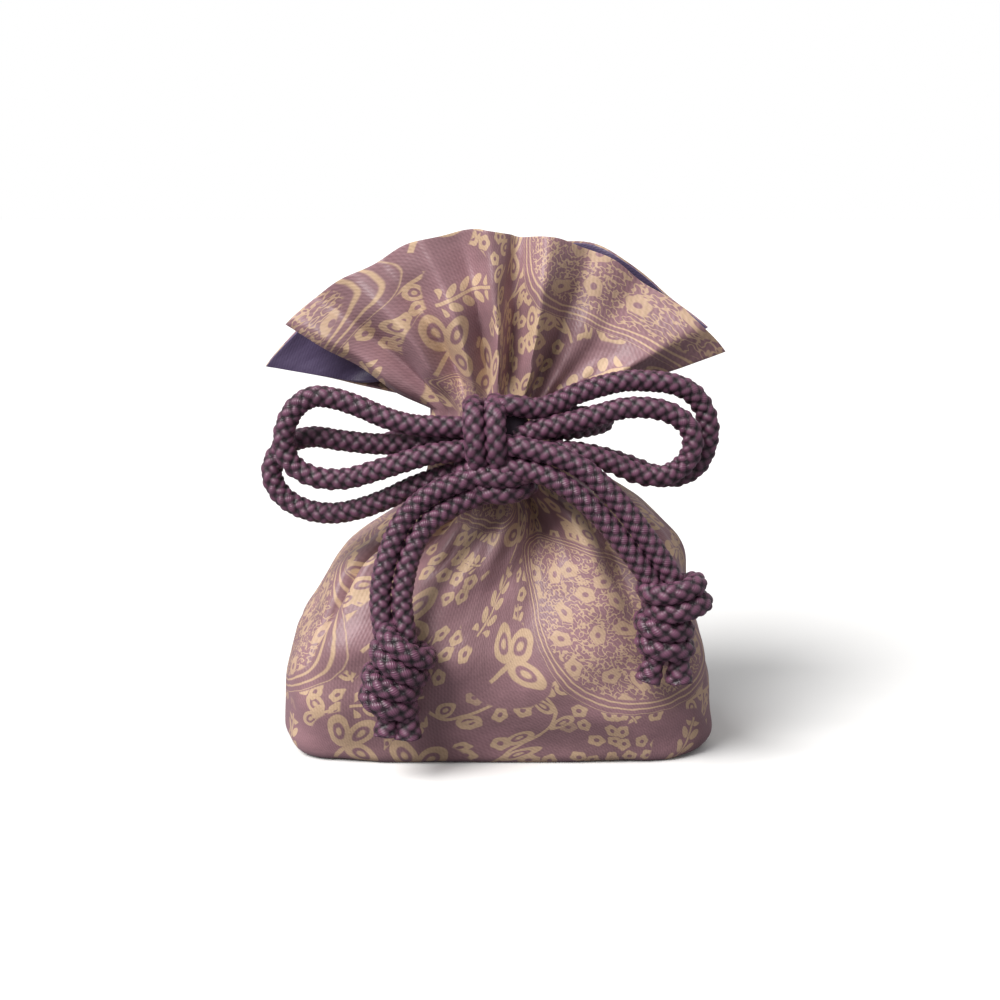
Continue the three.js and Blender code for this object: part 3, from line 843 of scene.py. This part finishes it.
def scattered(tree, u, v, size, spread, seed):
    """Coordinates about scattered points, each turned its own way, a random share, and the point."""
    node = tree.nodes.new("ShaderNodeTexVoronoi")
    node.voronoi_dimensions = "2D"
    node.inputs["Scale"].default_value = 1.0
    node.inputs["Randomness"].default_value = spread
    x, y = u / size + seed, v / size + seed
    plug(tree, combine(tree, x, y), node.inputs["Vector"])
    near = tree.nodes.new("ShaderNodeSeparateXYZ")
    tree.links.new(node.outputs["Position"], near.inputs[0])
    dx = (x - Field(tree, near.outputs[0])) * size
    dy = (y - Field(tree, near.outputs[1])) * size
    chance = tree.nodes.new("ShaderNodeSeparateColor")
    tree.links.new(node.outputs["Color"], chance.inputs[0])
    angle = Field(tree, chance.outputs[0]) * TAU
    c, s = angle.cos(), angle.sin()
    centre = (Field(tree, near.outputs[0]) - seed) * size, (Field(tree, near.outputs[1]) - seed) * size
    return dx * c + dy * s, dy * c - dx * s, Field(tree, chance.outputs[1]), centre


def ringed_leaf(x, y, length, width):
    """An oval leaf with a gap inside its thick outline and a small core."""
    out = (x / length).squared() + (y / width).squared()
    return out.under(1, 0.1) - out.under(0.3, 0.07) + out.under(0.07, 0.04)


def leaf_trio(x, y):
    """Three leaves that open from one point, with a short stalk."""
    total = abs(y).under(0.36, 0.1).least((x + 1.6).squared().under(5.0, 0.5))
    for angle, far in ((-66, 3.0), (4, 3.9), (64, 3.3)):
        a, b = turned(x, y, angle)
        total = total.most(ringed_leaf(a - far, b, 2.7 + 0.1 * far, 1.95))
    return total


def fern(x, y):
    """A short stem with pairs of small solid leaves."""
    a, b = turned(x.repeated(2.4), abs(y) - 1.25, 38)
    leaves = ((a / 1.25).squared() + (b / 0.62).squared()).under(1, 0.15)
    return leaves.least(abs(x).under(4.7, 0.1)).most(abs(y).under(0.24, 0.08).least(abs(x).under(5.4, 0.1)))


def ringed_flower(x, y, radius):
    """A floret of five round petals with an open middle."""
    far = (x.squared() + y.squared()).root()
    petals = (y.math("ARCTAN2", x) * 5.0).cos() * (0.08 * radius)
    return (far - petals).under(radius, 0.12) - far.under(0.34 * radius, 0.12)


def vine(u, v, spacing, sway, length, phase):
    """Distance across the nearest of a set of parallel winding stems."""
    slow = (v * (TAU / length) + phase).sin() * sway
    quick = (v * (TAU * 2.3 / length) + 2 * phase).sin() * (0.3 * sway)
    return (u + slow + quick).repeated(spacing)


def vine_with_leaves(u, v, spacing, sway, length, phase, gap):
    """Winding stems with ringed leaves at even gaps on both sides."""
    across = vine(u, v, spacing, sway, length, phase)
    total = abs(across).under(0.42, 0.1)
    for side, shift in ((1, 0.0), (-1, gap / 2)):
        x, y = turned(across * side - 2.2, (v + shift).repeated(gap), 48)
        total = total.most(ringed_leaf(x, y, 2.6, 1.7))
    return total


def clear_of_vines(u, v, apart):
    """1 where a motif's centre is far enough from the stems for the motif to stay whole."""
    nearest = abs(vine(u, v, *UPRIGHT_VINES)).least(abs(vine(v, u, *LEVEL_VINES)))
    return nearest.rise(apart, apart + 0.1)


def paisley(u, v, angle, half_width, half_height, bend):
    """1 at the middle of a curled drop, 0 on its outline and below 0 outside."""
    x, y = turned(u, v, angle)
    t = y / half_height
    x = x + t.squared() * t * bend
    narrowed = (t * -0.42 + 1.0).most(0.12) * half_width
    return ((x / narrowed).squared() + t.squared()).root().inverted()


# After these lengths, round the cloth and up it, the drops and the placed motifs come again.
REPEAT = (97.0, 98.0)

# Curled drops: place round the cloth and up it, angle, half width, half height, bend.
DROPS = (
    (29.0, 63.0, 28, 15.5, 23.0, 9.0),
    (-22.0, 102.0, -30, 12.5, 19.0, -8.0),
    (-26.0, 12.0, 20, 10.0, 15.0, 6.0),
)

# Motifs placed one by one on the front: place round the cloth and up it, angle, shape.
PLACED_MOTIFS = (
    (3.0, 52.0, 40, leaf_trio), (-6.0, 81.0, 100, leaf_trio), (-5.5, 66.5, 70, fern),
    (-31.0, 60.0, 60, leaf_trio), (-14.0, 121.0, 120, leaf_trio), (-33.0, 128.0, 40, leaf_trio),
    (-24.0, 43.0, 10, fern), (44.0, 127.0, 70, fern),
)

# Stems that climb and stems that run round: spacing, sway, length of a bend, phase.
UPRIGHT_VINES = (41.0, 9.0, 66.0, 0.9)
LEVEL_VINES = (47.0, 7.0, 58.0, 2.2)


def brocade_pattern(tree, u, v):
    """How much of each point is pattern thread, 0 to 1."""
    wide, high = REPEAT
    drop = None
    for across, up, angle, half_width, half_height, bend in DROPS:
        cu, cv = (u - across).repeated(wide), (v - up).repeated(high)
        one = paisley(cu, cv, angle, half_width, half_height, bend)
        drop = drop.most(one) if drop else one
    inside = drop.rise(0.01, 0.03)
    contours = abs((drop + 0.03).repeated(0.085)).under(0.012, 0.007)
    contours = contours.least(drop.rise(-0.2, -0.19)).least(drop.under(0.03, 0.004))
    outside = drop.under(-0.21, 0.01)

    x, y, chance, centre = scattered(tree, u, v, 16.0, 0.5, 3.7)
    is_fern = chance.rise(0.64, 0.66)
    sprigs = leaf_trio(x, y).least(is_fern.inverted()).most(fern(x, y).least(is_fern))
    ground = sprigs.least(clear_of_vines(*centre, 4.6))
    x, y, chance, centre = scattered(tree, u, v, 4.5, 0.6, 11.3)
    clusters = noise(tree, centre[0] + 40.0, centre[1], 13.0).rise(0.41, 0.42)
    clustered = clusters.least(chance.rise(0.1, 0.12))
    flowers = ringed_flower(x * 0.78, y, 1.55).least(clustered)
    ground = ground.most(flowers.least(clear_of_vines(*centre, 3.0)))
    ground = ground.most(vine_with_leaves(u, v, *UPRIGHT_VINES, 9.4))
    ground = ground.most(vine_with_leaves(v, u, *LEVEL_VINES, 10.2))
    placed = None
    for across, up, angle, shape in PLACED_MOTIFS:
        x, y = turned((u - across).repeated(wide) * 0.64, (v - up).repeated(high) * 0.64, angle)
        around = (x.squared() + y.squared()).root().rise(6.6, 7.0)
        ground = ground.least(around)
        placed = placed.most(shape(x, y)) if placed else shape(x, y)
    ground = ground.most(placed).least(outside)

    squiggle = abs(noise(tree, u, v, 1.45, 1.0) - 0.5).under(0.042, 0.02)
    x, y, _, _ = scattered(tree, u, v, 8.0, 0.8, 7.1)
    far = (x.squared() + y.squared()).root()
    filled = squiggle.least(far.rise(1.9, 2.1)).most(ringed_flower(x * 0.7, y, 1.7))
    return ground.most(contours).most(filled.least(inside) * 0.84)


def weave(u, v, period):
    """Height of fine diagonal weaving, 0 to 1."""
    a, b = turned(u, v, 32)
    return (a * (TAU / period)).sin() * (b * (TAU / period * 0.31)).sin() * 0.5 + 0.5


# Colours that darken the cloth and the cord in streaks and between threads, as linear red, green and blue.
STREAKED_GROUND = (0.14, 0.08, 0.09)
STREAKED_MOTIF = (0.3, 0.2, 0.14)
WEAVE_SHADE = (0.07, 0.04, 0.05)
DULL_CORD = (0.05, 0.02, 0.038)
FIBRE_SHADE = (0.02, 0.009, 0.016)


def brocade_material():
    cloth = bpy.context.scene.pouch_cloth
    material, tree, shader = new_material("Brocade")
    u, v = uv_fields(tree, "Cloth")
    wobble = (noise(tree, u, v, 5.0, 1.0) - 0.5) * 1.1
    wobble_v = (noise(tree, u + 90.0, v, 5.0, 1.0) - 0.5) * 1.1
    pattern = brocade_pattern(tree, u + wobble, v + wobble_v)
    thread = weave(u, v, 0.75)
    worn = noise(tree, u, v, 18.0, 3.0)
    streak = noise(tree, u * 0.25, v * 3.0, 1.0, 2.0)
    ground = blend(tree, worn.rise(0.35, 0.65), cloth.ground, cloth.faded_ground)
    ground = blend(tree, streak * 0.4, ground, STREAKED_GROUND)
    motif = blend(tree, worn.rise(0.3, 0.7), cloth.motif, cloth.bright_motif)
    motif = blend(tree, streak * 0.35, motif, STREAKED_MOTIF)
    colour = blend(tree, pattern * (thread * 0.25 + 0.8), ground, motif)
    colour = blend(tree, thread * 0.26, colour, WEAVE_SHADE)
    plug(tree, colour, shader.inputs["Base Color"])
    plug(tree, pattern * 0.12 + 0.44, shader.inputs["Roughness"])
    shader.inputs["Specular IOR Level"].default_value = 0.38
    shader.inputs["Sheen Weight"].default_value = 0.12
    shader.inputs["Sheen Roughness"].default_value = 0.45
    shader.inputs["Sheen Tint"].default_value = (0.85, 0.6, 0.75, 1.0)
    normal = add_bump(tree, thread, 0.00008, 0.5)
    normal = add_bump(tree, noise(tree, u, v, 3.5, 3.0), 0.0006, 0.35, normal)
    tree.links.new(normal, shader.inputs["Normal"])
    return material


def lining_material():
    cloth = bpy.context.scene.pouch_cloth
    material, tree, shader = new_material("Lining")
    u, v = uv_fields(tree, "Cloth")
    worn = noise(tree, u, v, 14.0, 3.0)
    colour = blend(tree, worn, cloth.lining_colour, cloth.worn_lining)
    plug(tree, colour, shader.inputs["Base Color"])
    shader.inputs["Roughness"].default_value = 0.5
    shader.inputs["Sheen Weight"].default_value = 0.3
    shader.inputs["Sheen Tint"].default_value = (0.6, 0.5, 0.95, 1.0)
    normal = add_bump(tree, weave(u, v, 0.5), 0.00006, 0.5)
    normal = add_bump(tree, noise(tree, u, v, 4.0, 3.0), 0.0008, 0.35, normal)
    tree.links.new(normal, shader.inputs["Normal"])
    return material


def attribute_field(tree, name):
    node = tree.nodes.new("ShaderNodeAttribute")
    node.attribute_name = name
    return Field(tree, node.outputs["Fac"])


def cord_material():
    cord = bpy.context.scene.pouch_cord
    material, tree, shader = new_material("Cord")
    u, v = uv_fields(tree, "Cord")
    crown = attribute_field(tree, "crown")
    fibre = (attribute_field(tree, "thread") * 34.0).sin() * 0.5 + 0.5
    uneven = noise(tree, u, v, 3.0, 2.0)
    # Painted shade and highlight: by the braid's relief height, the grooves are painted near black and the
    # crowns lighter, over the cord's own plum colour.
    colour = blend(tree, crown.rise(0.6, 1.0), cord.painted_groove_shade, cord.colour)
    colour = blend(tree, uneven.rise(0.4, 0.7) * 0.4, colour, DULL_CORD)
    colour = blend(tree, fibre * 0.35, colour, FIBRE_SHADE)
    plug(tree, colour, shader.inputs["Base Color"])
    shader.inputs["Roughness"].default_value = 0.36
    shader.inputs["Specular IOR Level"].default_value = 0.5
    shader.inputs["Sheen Weight"].default_value = 0.1
    shader.inputs["Sheen Tint"].default_value = (0.85, 0.55, 0.75, 1.0)
    tree.links.new(add_bump(tree, fibre, 0.0001, 0.6), shader.inputs["Normal"])
    return material


# Painted shade: a near-black material for the knots' cores, standing in for the shadow deep inside each
# knot.
def knot_shadow_material():
    material, _, shader = new_material("Knot shadow")
    shader.inputs["Base Color"].default_value = (0.02, 0.01, 0.02, 1.0)
    shader.inputs["Roughness"].default_value = 0.9
    return material


MATERIALS = {
    "brocade": brocade_material,
    "lining": lining_material,
    "cord": cord_material,
    # core: the painted shade inside the knots.
    "core": knot_shadow_material,
}


def shared_material(name):
    made = bpy.data.materials.get(f"pouch {name}")
    if made is None:
        made = MATERIALS[name]()
        made.name = f"pouch {name}"
    return made


# Settings and operators


class PouchClothSettings(bpy.types.PropertyGroup):
    thickness: FloatProperty(
        name="Brocade thickness", description="Thickness of the outer cloth",
        default=0.001, min=0.0003, max=0.003, unit="LENGTH",
    )
    lining: FloatProperty(
        name="Lining thickness", description="Thickness of the lining cloth",
        default=0.0008, min=0.0003, max=0.003, unit="LENGTH",
    )
    gap: FloatProperty(
        name="Gap", description="Distance from the brocade's outside to the lining",
        default=0.0014, min=0.001, max=0.004, unit="LENGTH",
    )
    ground: FloatVectorProperty(
        name="Ground", description="Colour of the brocade between its motifs",
        default=(0.28, 0.158, 0.172), min=0.0, max=1.0, subtype="COLOR",
    )
    faded_ground: FloatVectorProperty(
        name="Faded ground", description="Colour of the brocade where it looks worn",
        default=(0.39, 0.215, 0.24), min=0.0, max=1.0, subtype="COLOR",
    )
    motif: FloatVectorProperty(
        name="Motifs", description="Colour of the woven motifs",
        default=(0.6, 0.42, 0.26), min=0.0, max=1.0, subtype="COLOR",
    )
    bright_motif: FloatVectorProperty(
        name="Bright motifs", description="Colour of the motifs where they shine",
        default=(0.78, 0.56, 0.36), min=0.0, max=1.0, subtype="COLOR",
    )
    lining_colour: FloatVectorProperty(
        name="Lining", description="Colour of the lining",
        default=(0.05, 0.034, 0.075), min=0.0, max=1.0, subtype="COLOR",
    )
    worn_lining: FloatVectorProperty(
        name="Worn lining", description="Colour of the lining where it looks worn",
        default=(0.1, 0.07, 0.15), min=0.0, max=1.0, subtype="COLOR",
    )


class PouchCordSettings(bpy.types.PropertyGroup):
    diameter: FloatProperty(
        name="Diameter", description="Diameter of the braided cord",
        default=0.0049, min=0.002, max=0.01, unit="LENGTH",
    )
    pitch: FloatProperty(
        name="Braid pitch", description="Length in which a strand goes once round the cord",
        default=0.0118, min=0.004, max=0.03, unit="LENGTH",
    )
    relief: FloatProperty(
        name="Relief", description="Depth of the grooves between the strands",
        default=0.0014, min=0.0001, max=0.002, unit="LENGTH",
    )
    # Colour on the strands' crowns: the cord's own plum, lightened as a painted highlight.
    colour: FloatVectorProperty(
        name="Colour", description="Colour of the strands on their crowns",
        default=(0.2, 0.076, 0.135), min=0.0, max=1.0, subtype="COLOR",
    )
    # Painted shade: the near-black colour painted into the grooves between the strands.
    painted_groove_shade: FloatVectorProperty(
        name="Grooves", description="Colour in the grooves between the strands",
        default=(0.005, 0.0042, 0.005), min=0.0, max=1.0, subtype="COLOR",
    )


class PouchStageSettings(bpy.types.PropertyGroup):
    key: FloatProperty(
        name="Key light", description="Strength of the soft light from the upper left",
        default=4.15, min=0.0, max=20.0,
    )
    ambient: FloatProperty(
        name="Ambient", description="Brightness of the room round the pouch",
        default=0.48, min=0.0, max=5.0,
    )


# The dark ellipsoid of painted shade inside each kind of knot, in millimetres.
BOW_KNOT_SHADOW_AT, BOW_KNOT_SHADOW_HALF_SIZES = (1.2, -23.8, 75.5), (7.5, 5.5, 8.8)
END_KNOT_SHADOW_HALF_SIZES = (4.2, 3.8, 7.5)


class POUCH_OT_bow_knot(bpy.types.Operator):
    """Ties the bow knot from braided wraps round a dark core of painted shade"""

    bl_idname = "pouch.bow_knot"
    bl_label = "Bow knot"

    def execute(self, context):
        wraps = [
            braided_mesh(f"wrap {i}", route, start=i * 2.3)[0] for i, route in enumerate(KNOT_WRAPS)
        ]
        # The core is painted shade: a dark ellipsoid that fills the gaps between the wraps.
        core = knot_shadow_mesh(BOW_KNOT_SHADOW_AT, BOW_KNOT_SHADOW_HALF_SIZES)
        mesh = join_meshes("bow_knot_braid", [*wraps, core])
        piece = add_object("bow_knot_braid", mesh, shared_material("cord"), shared_material("core"))
        settle(piece, "cord", "bow_knot")
        return {"FINISHED"}


# For each end knot its middle, then coils as offset, lean and radius, and the routes of its stubs.
END_KNOTS = {
    "left_end_knot": (
        (-22.4, -37.4, 25.6),
        [((1.4, -0.4, 4.8), (0.42, -0.1, 1), 5.3), ((-1.6, 0.2, -4.4), (0.14, -0.1, 1), 4.7)],
        [
            [(2, 0, -4), (2.4, -0.6, -9.5), (2.4, -1, -14.6)],
            [(-2.4, 0.2, -4), (-2.2, -0.2, -9.5), (-2.4, -0.4, -14)],
        ],
    ),
    "right_end_knot": (
        (38.6, -33.6, 38.0),
        [((1.2, -0.4, 4.8), (-0.34, -0.1, 1), 5.5), ((-0.8, 0.2, -4.6), (-0.06, -0.1, 1), 4.5)],
        [
            [(-2.2, 0, -4), (-3, -0.6, -9.5), (-4.6, -1, -14.8)],
            [(2, 0.2, -4), (2.4, -0.4, -9.5), (2.6, -0.8, -15.2)],
        ],
    ),
}


def knot_shadow_mesh(centre, half_sizes):
    """Painted shade inside a knot: a dark ellipsoid, in millimetres."""
    bm = bmesh.new()
    bmesh.ops.create_uvsphere(bm, u_segments=40, v_segments=24, radius=MM)
    bmesh.ops.scale(bm, vec=Vector(half_sizes), verts=bm.verts)
    bmesh.ops.translate(bm, vec=Vector(centre) * MM, verts=bm.verts)
    for face in bm.faces:
        face.smooth = True
        face.material_index = 1
    core = bpy.data.meshes.new("core")
    bm.to_mesh(core)
    bm.free()
    return core


class POUCH_OT_end_knots(bpy.types.Operator):
    """Ties the knot at the end of each doubled tail"""

    bl_idname = "pouch.end_knots"
    bl_label = "End knots"

    def execute(self, context):
        for name, (middle, coils, stubs) in END_KNOTS.items():
            middle = np.array(middle)
            # Each end knot gets a dark core of painted shade.
            meshes = [knot_shadow_mesh(middle, END_KNOT_SHADOW_HALF_SIZES)]
            for offset, lean, radius in coils:
                route = coil_route(middle + offset, lean, radius)
                meshes.append(braided_mesh("coil", route, start=radius)[0])
            for stub in stubs:
                meshes.append(braided_mesh("stub", middle + np.array(stub), width=flared)[0])
            mesh = join_meshes(f"{name}_braid", meshes)
            piece = add_object(f"{name}_braid", mesh, shared_material("cord"), shared_material("core"))
            settle(piece, "cord", name)
        return {"FINISHED"}


class POUCH_OT_cords(bpy.types.Operator):
    """Braids the free cords: four loops and the four strands of the tails"""

    bl_idname = "pouch.cords"
    bl_label = "Bow loops and tails"

    def execute(self, context):
        for order, (name, route) in enumerate({**LOOPS, **TAILS}.items()):
            mesh, path = braided_mesh(f"{name}_braid", route, start=order * 1.7)
            piece = add_object(f"{name}_braid", mesh, shared_material("cord"))
            settle(piece, "cord", name)
        return {"FINISHED"}


def channel_route(side, z):
    """The stretch of a drawstring that the bag holds. side is -1 left, 1 right."""

    def at(inset, degrees):
        angle = math.radians(degrees)
        half_width, half_depth = NECK_WIDTH / 2 - inset, NECK_DEPTH / 2 - inset
        return (side * half_width * math.cos(angle), half_depth * math.sin(angle), z)

    def beside(x, y):
        return (side * (NECK_WIDTH / 2 + x), y, z)

    inner = [at(-4.3, degrees) for degrees in (-68, -58, -46, -34)]
    turn_back = [beside(*spot) for spot in ((1.7, -5.2), (-0.6, -2.9), (-3.8, -3), (-6.1, -4.9))]
    ring = [at(4.5, -50 - i * 18.6) for i in range(15)]
    way_out = [beside(*spot) for spot in ((-4.4, 3.7), (-0.9, 1.8), (3, 1.2), (6.4, -1.7))]
    outer = [at(-9.4, degrees) for degrees in (-18, -32, -46, -56, -62)]
    return [*inner, *turn_back, *ring, *way_out, *outer]


class POUCH_OT_channel_cords(bpy.types.Operator):
    """Braids the two stretches of drawstring that the bag holds in its channel"""

    bl_idname = "pouch.channel_cords"
    bl_label = "Cords in the channel"

    def execute(self, context):
        for side, z, name in (
            (-1, LEFT_CORD_HEIGHT, "left_cord_in_channel"),
            (1, RIGHT_CORD_HEIGHT, "right_cord_in_channel"),
        ):
            mesh, _ = braided_mesh(f"{name}_braid", channel_route(side, z), step=0.45, around=32)
            piece = add_object(f"{name}_braid", mesh, shared_material("cord"))
            settle(piece, "cord", name)
        return {"FINISHED"}


def thicken(piece, thickness):
    """Gives the sheet its thickness towards its inside, and softens its cut edges."""
    solid = piece.modifiers.new("Thickness", "SOLIDIFY")
    solid.thickness = thickness
    solid.offset = -1.0
    edges = piece.modifiers.new("Soft edges", "BEVEL")
    edges.width = thickness * 0.35
    edges.segments = 2
    edges.limit_method = "ANGLE"
    edges.angle_limit = math.radians(75)


class POUCH_OT_outer_bag(bpy.types.Operator):
    """Makes the brocade bag with its boxed body, gathered neck and fanned ruffle"""

    bl_idname = "pouch.outer_bag"
    bl_label = "Outer bag"

    def execute(self, context):
        mesh = cloth_mesh(
            "brocade_bag", columns=(116, 76, 9), rows=(76, 8, 62), depth=0.0, room=0.0, slit_from=ON_CHANNEL,
        )
        piece = add_object("brocade_bag", mesh, shared_material("brocade"))
        thicken(piece, context.scene.pouch_cloth.thickness)
        settle(piece, "brocade", "outer_bag")
        return {"FINISHED"}


class POUCH_OT_lining(bpy.types.Operator):
    """Makes the plain lining bag inside the brocade"""

    bl_idname = "pouch.lining"
    bl_label = "Lining"

    def execute(self, context):
        cloth = context.scene.pouch_cloth
        mesh = cloth_mesh(
            "lining_cloth", columns=(90, 60, 7), rows=(50, 8, 46), depth=cloth.gap / MM, room=CHANNEL_ROOM,
            slit_from=ON_RUFFLE,
        )
        piece = add_object("lining_cloth", mesh, shared_material("lining"))
        thicken(piece, cloth.lining)
        settle(piece, "lining", "lining_bag")
        return {"FINISHED"}


# The photograph's camera, in metres, and the way its soft light falls.
CAMERA_AT = (0.0007, -0.391, 0.1406)
CAMERA_AIM = (0.0007, 0.0, 0.0576)
LIGHT_FALLS = (0.62, 0.62, -0.85)


class POUCH_OT_stage(bpy.types.Operator):
    """Places the camera, the pale floor and the soft studio light"""

    bl_idname = "pouch.stage"
    bl_label = "Camera, floor and light"

    def execute(self, context):
        scene = context.scene
        camera = bpy.data.objects.new("Camera", bpy.data.cameras.new("Camera"))
        camera.data.lens = 59.4
        camera.data.sensor_width = 36.0
        camera.data.clip_start = 0.01
        camera.location = CAMERA_AT
        towards = Vector(CAMERA_AIM) - camera.location
        camera.rotation_euler = towards.to_track_quat("-Z", "Y").to_euler()
        scene.collection.objects.link(camera)
        scene.camera = camera

        bm = bmesh.new()
        bmesh.ops.create_grid(bm, x_segments=1, y_segments=1, size=3.0)
        floor_mesh = bpy.data.meshes.new("Floor")
        bm.to_mesh(floor_mesh)
        bm.free()
        material, tree, shader = new_material("Floor")
        seen = Field(tree, tree.nodes.new("ShaderNodeLightPath").outputs["Is Camera Ray"])
        plug(tree, blend(tree, seen, (0.22, 0.21, 0.23), (0.9, 0.9, 0.9)), shader.inputs["Base Color"])
        shader.inputs["Roughness"].default_value = 1.0
        shader.inputs["Specular IOR Level"].default_value = 0.0
        add_object("Floor", floor_mesh, material)

        light = bpy.data.objects.new("Key", bpy.data.lights.new("Key", "SUN"))
        light.data.energy = scene.pouch_stage.key
        light.data.angle = math.radians(35)
        light.data.color = (1.0, 0.985, 0.965)
        light.rotation_euler = Vector(LIGHT_FALLS).to_track_quat("-Z", "Y").to_euler()
        scene.collection.objects.link(light)

        world = bpy.data.worlds.new("Room")
        scene.world = world
        world.use_nodes = True
        tree = world.node_tree
        background = next(node for node in tree.nodes if node.type == "BACKGROUND")
        seen = Field(tree, tree.nodes.new("ShaderNodeLightPath").outputs["Is Camera Ray"])
        ambient = scene.pouch_stage.ambient
        plug(tree, seen * (1.0 - ambient) + ambient, background.inputs["Strength"])
        background.inputs["Color"].default_value = (1.0, 1.0, 1.0, 1.0)
        scene.view_settings.view_transform = "Standard"
        return {"FINISHED"}


BUILDERS = (
    POUCH_OT_stage,
    POUCH_OT_bow_knot,
    POUCH_OT_end_knots,
    POUCH_OT_cords,
    POUCH_OT_channel_cords,
    POUCH_OT_outer_bag,
    POUCH_OT_lining,
)


class POUCH_PT_panel(bpy.types.Panel):
    """Lists the pouch's settings and the steps that build it"""

    bl_idname = "POUCH_PT_panel"
    bl_label = "Pouch"
    bl_space_type = "VIEW_3D"
    bl_region_type = "UI"
    bl_category = "Pouch"

    def draw(self, context):
        for settings in (context.scene.pouch_cloth, context.scene.pouch_cord, context.scene.pouch_stage):
            column = self.layout.column(align=True)
            for name in settings.__annotations__:
                column.prop(settings, name)
        for builder in BUILDERS:
            self.layout.operator(builder.bl_idname)


CLASSES = (PouchClothSettings, PouchCordSettings, PouchStageSettings, *BUILDERS, POUCH_PT_panel)


def register():
    for cls in CLASSES:
        bpy.utils.register_class(cls)
    bpy.types.Scene.pouch_cloth = PointerProperty(type=PouchClothSettings)
    bpy.types.Scene.pouch_cord = PointerProperty(type=PouchCordSettings)
    bpy.types.Scene.pouch_stage = PointerProperty(type=PouchStageSettings)


def unregister():
    del bpy.types.Scene.pouch_stage
    del bpy.types.Scene.pouch_cord
    del bpy.types.Scene.pouch_cloth
    for cls in reversed(CLASSES):
        bpy.utils.unregister_class(cls)


def main():
    register()
    for builder in BUILDERS:
        family, step = builder.bl_idname.split(".")
        getattr(getattr(bpy.ops, family), step)()


if __name__ == "__main__":
    main()
